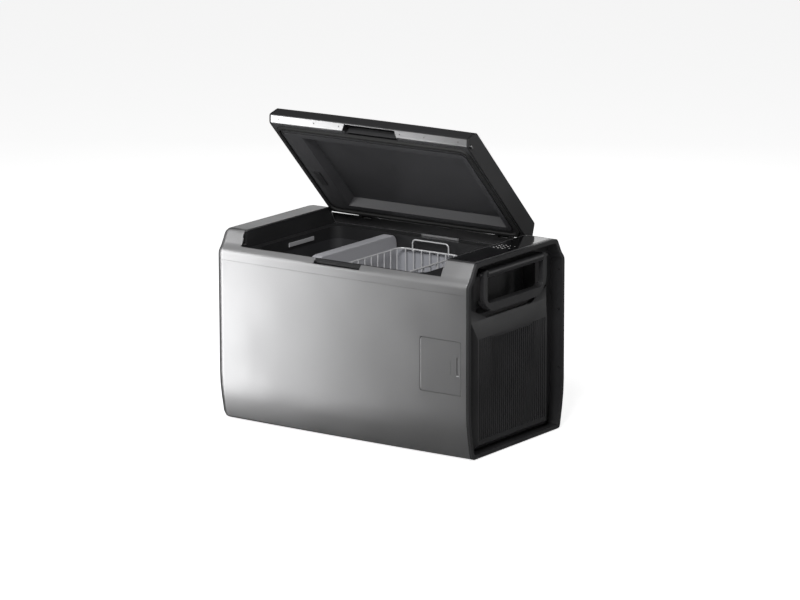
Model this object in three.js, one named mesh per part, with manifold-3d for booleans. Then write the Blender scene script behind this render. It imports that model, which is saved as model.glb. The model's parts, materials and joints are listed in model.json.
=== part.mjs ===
// Portable compressor cooler with a hinged lid, two carrying handles, a wire basket,
// a front hatch over the battery bay and a fan-cooled machine room at the right end.
// Millimetres. +X towards the machine room, -Y front, +Y hinge side, +Z up.
// The origin is under the middle of the cooler, on the surface it stands on.

import * as THREE from 'three';
import { mergeVertices } from 'three/addons/utils/BufferGeometryUtils.js';
import Module from 'manifold-3d';

const wasm = await Module();
wasm.setup();

// ---------------------------------------------------------------- driving sizes

const LENGTH = 700;
const DEPTH = 392;
const HEIGHT = 445;
const FRONT_BOW = 4;
const BODY_LIFT = 4;
const WALL = 3;
const GAP = 0.3;

const TOP_INSET = 31;
const BEVEL_INSET = 12;
const BEVEL_LOW_Z = 398;
const RIM_Z = 410;
const REAR_RIM_Z = 405;
const FOOT_INSET = 16;
const BOTTOM_CHAMFER = 80;
const LEFT_ROUND = 26;
const EDGE_ROLL = 7;
const BELLY_ROLL = 32;
const SEAM_Z = 377;

const OPENING_LEFT = -LENGTH / 2 + 69;
const OPENING_RIGHT = LENGTH / 2 - 81.5;

const TUB_LEFT = -LENGTH / 2 + 88;
const TUB_RIGHT = LENGTH / 2 - 150;
const TUB_FRONT = -DEPTH / 2 + 44;
const TUB_BACK = DEPTH / 2 - 39;
const TUB_FLOOR = 60;
const TUB_TOP = 374.5;
const TUB_WALL = 2.5;
const TUB_CORNER = 26;
const LEDGE_Z = 403;
const LEDGE_THICK = 3;

const DIVIDER_X = TUB_LEFT + 163;
const DIVIDER_THICK = 26;
const DIVIDER_TOP = 404;

const LID_SIDE_GAP = 2;
const LID_BASE_Z = 409;
const LID_EDGE_Z = 423;
const LID_TOP_Z = 452.5;
const LID_PLUG_Z = 405.5;
const LID_SKIN = 2;
const LID_REST_ANGLE = 46;
const HINGE_Y = DEPTH / 2 + 0.5;
const HINGE_Z = 427.5;
const HINGE_SPREAD = 190;
const HINGE_KNUCKLE = 6;
const HINGE_EAR = 26;
const HINGE_PIN = 3;
const HINGE_FOOT_Z = 388;

const RING_THICK = 6.7;
const RING_RIM = 9;
const END_FLOOR_X = LENGTH / 2 - 31;
const END_FLOOR_THICK = 3;

const GRILLE_FACE_X = LENGTH / 2 - 12;
const GRILLE_HALF = 134;
const GRILLE_TOP = 268;
const GRILLE_BOTTOM = 38;
const SLOT_COUNT = 34;
const SLOT_WIDTH = 3.6;
const BROW_Z = 308;
const BROW_HALF = 88;

const HANDLE_HALF = 126;
const HANDLE_ARM = 15;
const HANDLE_AXIS_X = LENGTH / 2 - 12;
const HANDLE_AXIS_Z = 412;
const GRIP_BOTTOM = 325;
const GRIP_HEIGHT = 19;
const GRIP_DEPTH = 20;

const HATCH_LEFT = LENGTH / 2 - 129;
const HATCH_RIGHT = LENGTH / 2 - 20;
const HATCH_BOTTOM = 150;
const HATCH_TOP = 272;
const HATCH_THICK = 2.9;
const HATCH_CORNER = 4;
const HATCH_GAP = 0.9;

const FAN_SIZE = 120;
const FAN_DEPTH = 25;
const FAN_Y = 30;
const FAN_Z = 222;
const FAN_X = LENGTH / 2 - 60;

// ---------------------------------------------------------------- solid helpers

function manifoldOf(geometry) {
  const bare = geometry.clone();
  bare.deleteAttribute('normal');
  bare.deleteAttribute('uv');
  const merged = mergeVertices(bare, 1e-4);
  return new wasm.Manifold(new wasm.Mesh({
    numProp: 3,
    vertProperties: new Float32Array(merged.attributes.position.array),
    triVerts: new Uint32Array(merged.index.array),
  }));
}

function geometryOf(manifold) {
  const mesh = manifold.getMesh();
  const geometry = new THREE.BufferGeometry();
  geometry.setAttribute('position', new THREE.BufferAttribute(mesh.vertProperties.slice(), 3));
  geometry.setIndex(new THREE.BufferAttribute(mesh.triVerts.slice(), 1));
  geometry.computeVertexNormals();
  return geometry;
}

function box(x0, x1, y0, y1, z0, z1) {
  const geometry = new THREE.BoxGeometry(x1 - x0, y1 - y0, z1 - z0);
  geometry.translate((x0 + x1) / 2, (y0 + y1) / 2, (z0 + z1) / 2);
  return manifoldOf(geometry);
}

function cylinder(axis, radius, centre, length, sides = 20) {
  const geometry = new THREE.CylinderGeometry(radius, radius, length, sides);
  if (axis === 'x') geometry.rotateZ(-Math.PI / 2);
  if (axis === 'z') geometry.rotateX(Math.PI / 2);
  geometry.translate(centre[0], centre[1], centre[2]);
  return manifoldOf(geometry);
}

// Extrudes an outline of [a, b] points: along x the outline is (y, z), along y it is (x, z)
// and along z it is (x, y).
function prism(axis, outline, from, to) {
  const points = outline.map(([a, b]) => new THREE.Vector2(a, b));
  const geometry = new THREE.ExtrudeGeometry(new THREE.Shape(points), {
    depth: to - from, bevelEnabled: false,
  });
  geometry.translate(0, 0, from);
  const place = new THREE.Matrix4();
  if (axis === 'x') place.set(0, 0, 1, 0, 1, 0, 0, 0, 0, 1, 0, 0, 0, 0, 0, 1);
  if (axis === 'y') place.set(1, 0, 0, 0, 0, 0, -1, 0, 0, 1, 0, 0, 0, 0, 0, 1);
  if (axis === 'y') geometry.translate(0, 0, -(from + to));
  geometry.applyMatrix4(place);
  return manifoldOf(geometry);
}

// Outline of a rectangle with round corners, radius r, steps segments on each corner.
function roundRect(a0, a1, b0, b1, r, steps = 3) {
  const centres = [[a1 - r, b1 - r, 0], [a0 + r, b1 - r, 1], [a0 + r, b0 + r, 2], [a1 - r, b0 + r, 3]];
  return centres.flatMap(([a, b, quarter]) => Array.from({ length: steps + 1 }, (_, i) => {
    const turn = (quarter + i / steps) * Math.PI / 2;
    return [a + r * Math.cos(turn), b + r * Math.sin(turn)];
  }));
}

// Rounds each corner of a convex outline with a quadratic curve that starts `reach` away.
// Corners listed in `wide` start `wideReach` away.
function softened(outline, reach, steps = 2, wide = [], wideReach = reach) {
  const count = outline.length;
  return outline.flatMap((corner, i) => {
    const before = outline[(i + count - 1) % count];
    const after = outline[(i + 1) % count];
    const away = wide.includes(i) ? wideReach : reach;
    const start = towards(corner, before, away);
    const end = towards(corner, after, away);
    return Array.from({ length: steps + 1 }, (_, k) => {
      const t = k / steps;
      const weights = [(1 - t) ** 2, 2 * t * (1 - t), t ** 2];
      return [0, 1].map((n) => weights[0] * start[n] + weights[1] * corner[n] + weights[2] * end[n]);
    });
  });
}

function towards(from, to, distance) {
  const span = Math.hypot(to[0] - from[0], to[1] - from[1]);
  const share = Math.min(distance / span, 0.45);
  return [from[0] + (to[0] - from[0]) * share, from[1] + (to[1] - from[1]) * share];
}

// Moves every side of a convex, counter-clockwise outline inwards by `distance`.
function insetOutline(outline, distance) {
  const count = outline.length;
  const sides = outline.map((point, i) => {
    const next = outline[(i + 1) % count];
    const span = Math.hypot(next[0] - point[0], next[1] - point[1]);
    const normal = [-(next[1] - point[1]) / span, (next[0] - point[0]) / span];
    return { normal, reach: normal[0] * point[0] + normal[1] * point[1] + distance };
  });
  return sides.map((side, i) => {
    const last = sides[(i + count - 1) % count];
    const cross = last.normal[0] * side.normal[1] - last.normal[1] * side.normal[0];
    return [
      (last.reach * side.normal[1] - side.reach * last.normal[1]) / cross,
      (side.reach * last.normal[0] - last.reach * side.normal[0]) / cross,
    ];
  });
}

// Skins closed (y, z) outlines, one at each x station, into a solid.
function loft(stations) {
  const size = stations[0].outline.length;
  const positions = stations.flatMap(({ x, outline }) => outline.flatMap(([y, z]) => [x, y, z]));
  const index = [];
  for (let s = 0; s < stations.length - 1; s += 1) {
    for (let i = 0; i < size; i += 1) {
      const a = s * size + i;
      const b = s * size + (i + 1) % size;
      index.push(a, b, b + size, a, b + size, a + size);
    }
  }
  const last = (stations.length - 1) * size;
  for (let i = 1; i < size - 1; i += 1) {
    index.push(0, i + 1, i);
    index.push(last, last + i, last + i + 1);
  }
  const geometry = new THREE.BufferGeometry();
  geometry.setAttribute('position', new THREE.Float32BufferAttribute(positions, 3));
  geometry.setIndex(index);
  return manifoldOf(geometry);
}

// ---------------------------------------------------------------- outer form

const HALF_LENGTH = LENGTH / 2;
const HALF_DEPTH = DEPTH / 2;

function bowAt(x) {
  return FRONT_BOW * (x / HALF_LENGTH) ** 2;
}

// Counter-clockwise (y, z) outline of the body where its half depth is `half`.
function bodyOutline(half) {
  return [
    [-half + FOOT_INSET, BODY_LIFT],
    [half - FOOT_INSET, BODY_LIFT],
    [half, BODY_LIFT + BOTTOM_CHAMFER],
    [half, BEVEL_LOW_Z],
    [half - BEVEL_INSET, RIM_Z],
    [half - TOP_INSET, HEIGHT],
    [-half + TOP_INSET, HEIGHT],
    [-half + BEVEL_INSET, RIM_Z],
    [-half, BEVEL_LOW_Z],
    [-half, BODY_LIFT + BOTTOM_CHAMFER],
  ];
}

// The two corners of the outline where the sides start to lean in towards the base.
const BELLY = [2, 9];

// The outer form moved inwards by `depth`, from x0 to x1, with its round left corner.
function bodyForm(depth, x0 = -HALF_LENGTH + depth, x1 = HALF_LENGTH) {
  const round = Math.max(LEFT_ROUND - depth, 0);
  const leftEnd = -HALF_LENGTH + depth;
  const roundSteps = 4;
  const stations = [];
  if (x0 <= leftEnd) {
    for (let k = 0; k <= roundSteps; k += 1) {
      const turn = (k / roundSteps) * Math.PI / 2;
      stations.push({ x: leftEnd + round * (1 - Math.cos(turn)), inset: round * (1 - Math.sin(turn)) });
    }
  } else {
    stations.push({ x: x0, inset: 0 });
  }
  const flatFrom = stations[stations.length - 1].x;
  const spans = 5;
  for (let k = 1; k <= spans; k += 1) {
    stations.push({ x: flatFrom + (x1 - flatFrom) * k / spans, inset: 0 });
  }
  return loft(stations.map(({ x, inset }) => ({
    x,
    outline: softened(
      insetOutline(bodyOutline(HALF_DEPTH - bowAt(x)), depth + inset), EDGE_ROLL, 2, BELLY, BELLY_ROLL,
    ),
  })));
}

const FORM = bodyForm(0);
const INNER_FORM = bodyForm(WALL, -HALF_LENGTH + WALL, HALF_LENGTH + 10);
const SHELL_END = HALF_LENGTH - RING_THICK - GAP;

// ---------------------------------------------------------------- materials

function finish(name, color, roughness, metalness) {
  return new THREE.MeshStandardMaterial({ name, color, roughness, metalness });
}

const SILVER = finish('silver_paint', 0xa6a7aa, 0.34, 0.85);
const GRAPHITE = finish('graphite_paint', 0x46474a, 0.36, 0.8);
const BLACK = finish('black_moulding', 0x232325, 0.5, 0.0);
const DARK = finish('dark_liner', 0x2c2c30, 0.55, 0.0);
const GREY = finish('light_grey_moulding', 0xb4b4ba, 0.45, 0.0);
const GLOSS = finish('panel_glass', 0x08080a, 0.08, 0.0);
const RUBBER = finish('rubber', 0x151516, 0.85, 0.0);
const FOAM = finish('foam', 0xd9cfa6, 0.9, 0.0);
const STEEL = finish('steel', 0xb9bbbf, 0.3, 1.0);
const WIRE = finish('coated_wire', 0xc9cacd, 0.35, 0.6);
const COPPER = finish('copper', 0xb8733a, 0.35, 1.0);
const ALUMINIUM = finish('aluminium', 0xc8cacc, 0.4, 0.9);
const CIRCUIT = finish('circuit_board', 0x1f5a33, 0.6, 0.0);
const LAMP = finish('lamp_lens', 0xe6e8ea, 0.3, 0.0);

// ---------------------------------------------------------------- assembly

const cooler = new THREE.Group();
const lid = new THREE.Group();
lid.position.set(0, HINGE_Y, HINGE_Z);
lid.rotation.x = -THREE.MathUtils.degToRad(LID_REST_ANGLE);
cooler.add(lid);

function addPart(name, solid, material) {
  const mesh = new THREE.Mesh(geometryOf(solid), material);
  mesh.name = name;
  cooler.add(mesh);
}

// Lid parts are drawn in the closed place and hang in the turned lid group.
function addLidPart(name, solid, material) {
  const geometry = geometryOf(solid);
  geometry.translate(0, -HINGE_Y, -HINGE_Z);
  const mesh = new THREE.Mesh(geometry, material);
  mesh.name = name;
  lid.add(mesh);
}

function union(solids) {
  return solids.reduce((whole, solid) => whole.add(solid));
}

function without(solid, cuts) {
  return cuts.reduce((left, cut) => left.subtract(cut), solid);
}

const FAR = 600;

// ---------------------------------------------------------------- body shell and top frame

const HANDLE_POCKET = { half: 146, low: 292, high: 368, depth: 34, wall: 2.5 };

function leftPocketCut() {
  const { half, low, high } = HANDLE_POCKET;
  return prism('x', roundRect(-half, half, low, high, 16), -HALF_LENGTH - 5, -HALF_LENGTH + WALL + 12);
}

function hatchWindow() {
  const outline = roundRect(HATCH_LEFT, HATCH_RIGHT, HATCH_BOTTOM, HATCH_TOP, HATCH_CORNER);
  return prism('y', outline, -HALF_DEPTH - 5, -HALF_DEPTH + 12);
}

const PAN = {
  left: -HALF_LENGTH + 28, right: HALF_LENGTH - 14, half: HALF_DEPTH - 28, thick: 3.5,
};

function outerShell() {
  const floorWindow = box(PAN.left, PAN.right + 20, -PAN.half, PAN.half, -5, 25);
  return without(FORM, [
    INNER_FORM,
    box(-FAR, FAR, -FAR, FAR, SEAM_Z - GAP / 2, FAR),
    box(SHELL_END, FAR, -FAR, FAR, -FAR, FAR),
    floorWindow,
    leftPocketCut(),
    hatchWindow(),
  ]);
}

const PANEL = {
  left: HALF_LENGTH - 79.5, right: HALF_LENGTH - 13.5, half: HALF_DEPTH - 44, thick: 3, corner: 5,
};
const NOTCH = { left: -70, right: 56, low: 399.5, depth: 8 };
const REAR_GRIP = {
  left: -31, right: 72, front: HALF_DEPTH - 21, back: HALF_DEPTH - 14.3, high: 408,
};

function hingeCentres() {
  const middle = (OPENING_LEFT + OPENING_RIGHT) / 2;
  return [middle - HINGE_SPREAD, middle + HINGE_SPREAD];
}

const BRACKET_HALF = HINGE_EAR / 2 + 10;

function hingeNotches(clearance) {
  return hingeCentres().map((x) => box(
    x - BRACKET_HALF - clearance, x + BRACKET_HALF + clearance,
    HINGE_Y - HINGE_KNUCKLE - clearance, FAR, HINGE_FOOT_Z - clearance, FAR,
  ));
}

// The bolts at the lid ends swing up through these grooves when the lid is lifted.
const LATCH = { x: -0.5, y: -HALF_DEPTH + 31, z: 416, wide: 10, thick: 4, proud: 4, travel: 6.5 };

function boltGroove(x0, x1) {
  return box(x0, x1, LATCH.y - LATCH.wide / 2 - 1, LATCH.y + LATCH.wide / 2 + 2, LATCH.z - 5, FAR);
}

function topFrame() {
  const rails = without(FORM, [INNER_FORM]);
  const lidOpening = union([
    box(OPENING_LEFT, OPENING_RIGHT, -FAR, 0, RIM_Z, FAR),
    box(OPENING_LEFT, OPENING_RIGHT, -1, FAR, REAR_RIM_Z, FAR),
  ]);
  const panelSeat = prism('z', roundRect(
    PANEL.left - GAP, PANEL.right + GAP, -PANEL.half - GAP, PANEL.half + GAP, PANEL.corner,
  ), HEIGHT - 30, FAR);
  const fingerNotch = box(NOTCH.left, NOTCH.right, -FAR, 0, NOTCH.low, FAR);
  return without(rails, [
    box(-FAR, FAR, -FAR, FAR, -FAR, SEAM_Z + GAP / 2),
    box(SHELL_END, FAR, -FAR, FAR, -FAR, FAR),
    lidOpening,
    panelSeat,
    fingerNotch,
    boltGroove(OPENING_LEFT - 2.6, OPENING_LEFT + 1),
    boltGroove(OPENING_RIGHT - 1, OPENING_RIGHT + 2.5),
    ...hingeNotches(GAP),
  ]);
}

addPart('outer_shell', outerShell(), SILVER);
addPart('top_frame', topFrame(), SILVER);

// ---------------------------------------------------------------- rim collar round the tub mouth

const COLLAR_FORM = bodyForm(WALL + GAP, -HALF_LENGTH + 20, HALF_LENGTH + 10);

function tubMouth(grow, low, high) {
  return prism('z', roundRect(
    TUB_LEFT - grow, TUB_RIGHT + grow, TUB_FRONT - grow, TUB_BACK + grow, TUB_CORNER + grow,
  ), low, high);
}

const LEFT_CHEEK = { outer: OPENING_LEFT - 8, inner: OPENING_LEFT + GAP };
const RIGHT_CHEEK = { inner: OPENING_RIGHT - GAP, outer: OPENING_RIGHT + 2.5 };

function rimCollar() {
  const ledge = box(LEFT_CHEEK.outer, RIGHT_CHEEK.outer, -FAR, FAR, LEDGE_Z - LEDGE_THICK, LEDGE_Z);
  const skirt = tubMouth(3, TUB_TOP + GAP, LEDGE_Z);
  const leftCheek = box(LEFT_CHEEK.outer, LEFT_CHEEK.inner, -FAR, FAR, LEDGE_Z - 1, FAR);
  const rightCheek = box(RIGHT_CHEEK.inner, RIGHT_CHEEK.outer, -FAR, FAR, LEDGE_Z - 1, HEIGHT - 8);
  const frontSlope = prism('x', [
    [-HALF_DEPTH, LEDGE_Z - 1], [-HALF_DEPTH + 27, LEDGE_Z - 1], [-HALF_DEPTH + 19, RIM_Z - 1],
    [-HALF_DEPTH, RIM_Z - 1],
  ], LEFT_CHEEK.inner - 1, RIGHT_CHEEK.inner + 1);
  const rearStrip = box(
    LEFT_CHEEK.inner - 1, RIGHT_CHEEK.inner + 1, HALF_DEPTH - 14, FAR, LEDGE_Z - 1, REAR_RIM_Z - 1,
  );
  const whole = union([ledge, skirt, leftCheek, rightCheek, frontSlope, rearStrip]);
  return without(whole.intersect(COLLAR_FORM), [
    tubMouth(0, 0, FAR),
    ...hingeNotches(2 * GAP),
    box(NOTCH.left, NOTCH.right, -FAR, -HALF_DEPTH + WALL + NOTCH.depth, NOTCH.low, FAR),
    boltGroove(LEFT_CHEEK.inner - 6, LEFT_CHEEK.inner + 5),
    boltGroove(RIGHT_CHEEK.inner - 5, RIGHT_CHEEK.outer + 1),
    box(REAR_GRIP.left - GAP, REAR_GRIP.right + GAP, REAR_GRIP.front, FAR, LEDGE_Z, REAR_RIM_Z),
  ]);
}

// Wear plate under the path of a bolt.
function strikerPlate(x0, x1) {
  return box(x0, x1, LATCH.y - 5, LATCH.y + 5, LATCH.z - 4.7, LATCH.z - 3.2);
}

function rearGrip() {
  const { left, right, front, back, high } = REAR_GRIP;
  const outline = [
    [front, LEDGE_Z + GAP], [back, LEDGE_Z + GAP], [back, high - 1.5], [back - 2, high], [front, high],
  ];
  return prism('x', outline, left, right);
}

addPart('rim_collar', rimCollar(), BLACK);
addPart('striker_left', strikerPlate(LEFT_CHEEK.inner - 5.5, LEFT_CHEEK.inner - 0.5), STEEL);
addPart('striker_right', strikerPlate(RIGHT_CHEEK.inner + 0.3, RIGHT_CHEEK.outer - 0.1), STEEL);
addPart('rear_grip', rearGrip(), SILVER);

// ---------------------------------------------------------------- base and feet

const FOOT = { x: HALF_LENGTH - 82, y: HALF_DEPTH - 64, radius: 17, spigot: 6 };

function footPlaces() {
  return [
    ['foot_front_left', -FOOT.x, -FOOT.y], ['foot_front_right', FOOT.x, -FOOT.y],
    ['foot_rear_left', -FOOT.x, FOOT.y], ['foot_rear_right', FOOT.x, FOOT.y],
  ];
}

function basePan() {
  const plate = box(
    PAN.left + GAP, END_FLOOR_X - END_FLOOR_THICK - GAP, -PAN.half + GAP, PAN.half - GAP,
    BODY_LIFT, BODY_LIFT + PAN.thick,
  );
  return without(plate, footPlaces().map(([, x, y]) => (
    cylinder('z', FOOT.spigot + GAP, [x, y, BODY_LIFT], 20, 14))));
}

function foot(x, y) {
  const profile = [
    [0, 0], [FOOT.radius - 3, 0], [FOOT.radius, 2.4], [FOOT.radius, BODY_LIFT - GAP],
    [FOOT.spigot, BODY_LIFT - GAP], [FOOT.spigot, BODY_LIFT + PAN.thick + 2], [0, BODY_LIFT + PAN.thick + 2],
  ].map(([r, z]) => new THREE.Vector2(r, z));
  const geometry = new THREE.LatheGeometry(profile, 16);
  geometry.rotateX(Math.PI / 2);
  geometry.translate(x, y, 0);
  return manifoldOf(geometry);
}

addPart('base_pan', basePan(), BLACK);
footPlaces().forEach(([name, x, y]) => addPart(name, foot(x, y), RUBBER));

// ---------------------------------------------------------------- tub, cold plate, divider, lamp, foam

function tubLiner() {
  const outer = tubMouth(TUB_WALL, TUB_FLOOR - TUB_WALL, TUB_TOP);
  return outer.subtract(tubMouth(0, TUB_FLOOR, FAR));
}

const COLD_PLATE = { low: 118, high: 371, thick: 2, gap: 1.2 };

function coldPlate() {
  const { low, high, thick, gap } = COLD_PLATE;
  const sheet = tubMouth(-gap, low, high).subtract(tubMouth(-gap - thick, 0, FAR));
  return sheet.intersect(box(DIVIDER_X + DIVIDER_THICK / 2 + 1, FAR, -FAR, FAR, 0, FAR));
}

function zoneDivider() {
  const x0 = DIVIDER_X - DIVIDER_THICK / 2;
  const front = TUB_FRONT + 1;
  const back = TUB_BACK - 1;
  const corner = 20;
  const outline = [[front, TUB_FLOOR + 0.5], [back, TUB_FLOOR + 0.5]];
  for (let k = 0; k <= 4; k += 1) {
    const turn = (k / 4) * Math.PI / 2;
    outline.push([back - corner + corner * Math.cos(turn), DIVIDER_TOP - corner + corner * Math.sin(turn)]);
  }
  for (let k = 0; k <= 4; k += 1) {
    const turn = Math.PI / 2 + (k / 4) * Math.PI / 2;
    outline.push([front + corner + corner * Math.cos(turn), DIVIDER_TOP - corner + corner * Math.sin(turn)]);
  }
  return prism('x', outline, x0, x0 + DIVIDER_THICK);
}

const LAMP_STRIP = { front: -26, back: 70, low: 383.5, high: 393, thick: 2.4 };

function lampLens() {
  return box(
    TUB_LEFT + 0.2, TUB_LEFT + 0.2 + LAMP_STRIP.thick,
    LAMP_STRIP.front, LAMP_STRIP.back, LAMP_STRIP.low, LAMP_STRIP.high,
  );
}

function insulation() {
  const block = bodyForm(WALL + 1, -HALF_LENGTH + WALL + 1, TUB_RIGHT + 12);
  const { half, low, high, depth } = HANDLE_POCKET;
  return without(block, [
    tubMouth(TUB_WALL + 0.6, TUB_FLOOR - TUB_WALL - 0.6, FAR),
    box(-FAR, FAR, -FAR, FAR, TUB_TOP - 1, FAR),
    box(-FAR, FAR, -FAR, FAR, -FAR, BODY_LIFT + PAN.thick + 3),
    box(-FAR, -HALF_LENGTH + depth + 4, -half - 2, half + 2, low - 2, high + 2),
  ]);
}

addPart('tub_liner', tubLiner(), DARK);
addPart('cold_plate', coldPlate(), GREY);
addPart('zone_divider', zoneDivider(), GREY);
addPart('lamp_lens', lampLens(), LAMP);
addPart('insulation_block', insulation(), FOAM);

// ---------------------------------------------------------------- wire basket

const BASKET = {
  left: DIVIDER_X + 29, right: DIVIDER_X + 196, front: TUB_FRONT + 12, back: TUB_BACK - 11,
  low: 190, rim: 376, wire: 2.2,
};
const BASKET_LOOP = { left: BASKET.left + 36, right: BASKET.right - 31, top: 400 };

function bar(from, to, thick) {
  const start = new THREE.Vector3(...from);
  const end = new THREE.Vector3(...to);
  const middle = start.clone().add(end).multiplyScalar(0.5);
  const geometry = new THREE.CylinderGeometry(thick, thick, start.distanceTo(end) + thick, 5);
  const turn = new THREE.Quaternion().setFromUnitVectors(
    new THREE.Vector3(0, 1, 0), end.clone().sub(start).normalize(),
  );
  geometry.applyQuaternion(turn);
  geometry.translate(middle.x, middle.y, middle.z);
  return manifoldOf(geometry);
}

function loop(points, thick) {
  return points.map((point, i) => bar(point, points[(i + 1) % points.length], thick));
}

function spread(from, to, count) {
  return Array.from({ length: count }, (_, i) => from + (to - from) * (i + 0.5) / count);
}

function wireBasket() {
  const { left, right, front, back, low, rim, wire } = BASKET;
  const ring = (z, thick) => loop(
    [[left, front, z], [right, front, z], [right, back, z], [left, back, z]], thick,
  );
  const wires = [...ring(rim, wire), ...ring((rim + low) / 2, wire * 0.7), ...ring(low, wire)];
  spread(left, right, 4).forEach((x) => {
    wires.push(bar([x, front, low], [x, front, rim], wire * 0.7));
    wires.push(bar([x, back, low], [x, back, rim], wire * 0.7));
    wires.push(bar([x, front, low], [x, back, low], wire * 0.7));
  });
  spread(front, back, 5).forEach((y) => {
    wires.push(bar([left, y, low], [left, y, rim], wire * 0.7));
    wires.push(bar([right, y, low], [right, y, rim], wire * 0.7));
  });
  const { left: a, right: b, top } = BASKET_LOOP;
  const inner = back - wire * 1.5;
  wires.push(bar([a, inner, rim], [a, inner, top], wire * 0.8));
  wires.push(bar([b, inner, rim], [b, inner, top], wire * 0.8));
  wires.push(bar([a, inner, top], [b, inner, top], wire * 0.8));
  return union(wires);
}

addPart('wire_basket', wireBasket(), WIRE);

// ---------------------------------------------------------------- carrying handles

// A drop handle that hangs down: the axis is along y at x = 0, z = 0 and it faces +x.
function dropHandle(reach, gripHeight, gripDepth) {
  const outline = softened([
    [-HANDLE_HALF, -reach + 26], [-HANDLE_HALF + 30, -reach], [HANDLE_HALF - 30, -reach],
    [HANDLE_HALF, -reach + 26], [HANDLE_HALF, 9], [-HANDLE_HALF, 9],
  ], 12);
  const hole = roundRect(
    -HANDLE_HALF + HANDLE_ARM, HANDLE_HALF - HANDLE_ARM, -reach + gripHeight, 30, 14,
  );
  const plate = prism('x', outline, -gripDepth + 7, 7);
  const slimArms = box(-FAR, -5, -FAR, FAR, -reach + gripHeight + 6, FAR);
  return without(plate, [
    prism('x', hole, -FAR, FAR),
    slimArms,
    cylinder('y', 4.3, [0, 0, 0], FAR, 14),
  ]);
}

function place(solid, x, y, z, flip = false) {
  const turned = flip ? solid.rotate([0, 0, 180]) : solid;
  return turned.translate([x, y, z]);
}

const RIGHT_REACH = HANDLE_AXIS_Z - GRIP_BOTTOM;
addPart('right_handle', place(
  dropHandle(RIGHT_REACH, GRIP_HEIGHT, GRIP_DEPTH), HANDLE_AXIS_X, 0, HANDLE_AXIS_Z,
), BLACK);

const BOSS_LENGTH = HANDLE_HALF - HANDLE_ARM - 1;

// Fixed barrel between the arms with a pin at each end that the arms turn on.
function handleBarrel(x, z, backX) {
  const barrel = cylinder('y', 10, [x, 0, z], 2 * BOSS_LENGTH, 12);
  const pins = cylinder('y', 4, [x, 0, z], 2 * (HANDLE_HALF + 8), 12);
  const web = box(Math.min(x, backX), Math.max(x, backX), -BOSS_LENGTH, BOSS_LENGTH, z - 10, z + 10);
  return union([barrel, pins, web]);
}

addPart('right_handle_barrel', handleBarrel(HANDLE_AXIS_X, HANDLE_AXIS_Z, END_FLOOR_X + GAP), BLACK);

const LEFT_AXIS_X = -HALF_LENGTH + 14;
const LEFT_AXIS_Z = HANDLE_POCKET.high - 14;
addPart('left_handle', place(
  dropHandle(58, 14, 16), LEFT_AXIS_X, 0, LEFT_AXIS_Z, true,
), BLACK);

function leftHandlePocket() {
  const { half, low, high, depth, wall } = HANDLE_POCKET;
  const outer = prism('x', roundRect(
    -half + GAP, half - GAP, low + GAP, high - GAP, 16,
  ), -HALF_LENGTH + 0.2, -HALF_LENGTH + depth);
  const hollow = prism('x', roundRect(
    -half + wall, half - wall, low + wall, high - wall, 14,
  ), -FAR, -HALF_LENGTH + depth - wall);
  const pins = cylinder('y', 4, [LEFT_AXIS_X, 0, LEFT_AXIS_Z], 2 * half - 2, 12);
  const barrel = union([
    cylinder('y', 8, [LEFT_AXIS_X, 0, LEFT_AXIS_Z], 2 * BOSS_LENGTH, 12),
    box(LEFT_AXIS_X, -HALF_LENGTH + depth - 1, -BOSS_LENGTH, BOSS_LENGTH, LEFT_AXIS_Z - 6, LEFT_AXIS_Z + 6),
  ]);
  return union([outer.subtract(hollow), pins, barrel]);
}

addPart('left_handle_pocket', leftHandlePocket(), BLACK);

// ---------------------------------------------------------------- right end frame and grille

function endFrame() {
  const ring = bodyForm(0, SHELL_END + GAP, HALF_LENGTH);
  const hole = bodyForm(RING_RIM, 200, FAR);
  const sleeve = bodyForm(WALL + GAP, END_FLOOR_X, HALF_LENGTH - 2);
  const floor = bodyForm(WALL + GAP, END_FLOOR_X - END_FLOOR_THICK, END_FLOOR_X);
  const grilleHole = prism('x', grilleOutline(-8), 0, FAR);
  const pocketHole = box(0, FAR, -118, 118, 318, 396);
  const tube = ring.add(sleeve).subtract(hole);
  return without(tube.add(floor), [grilleHole, pocketHole]);
}

function grilleOutline(grow) {
  const half = GRILLE_HALF + 22 + grow;
  return [
    [-half, 14 - grow], [half, 14 - grow], [half, BROW_Z + 30 + grow],
    [BROW_HALF + grow / 2, BROW_Z + grow], [-BROW_HALF - grow / 2, BROW_Z + grow],
    [-half, BROW_Z + 30 + grow],
  ];
}

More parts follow.
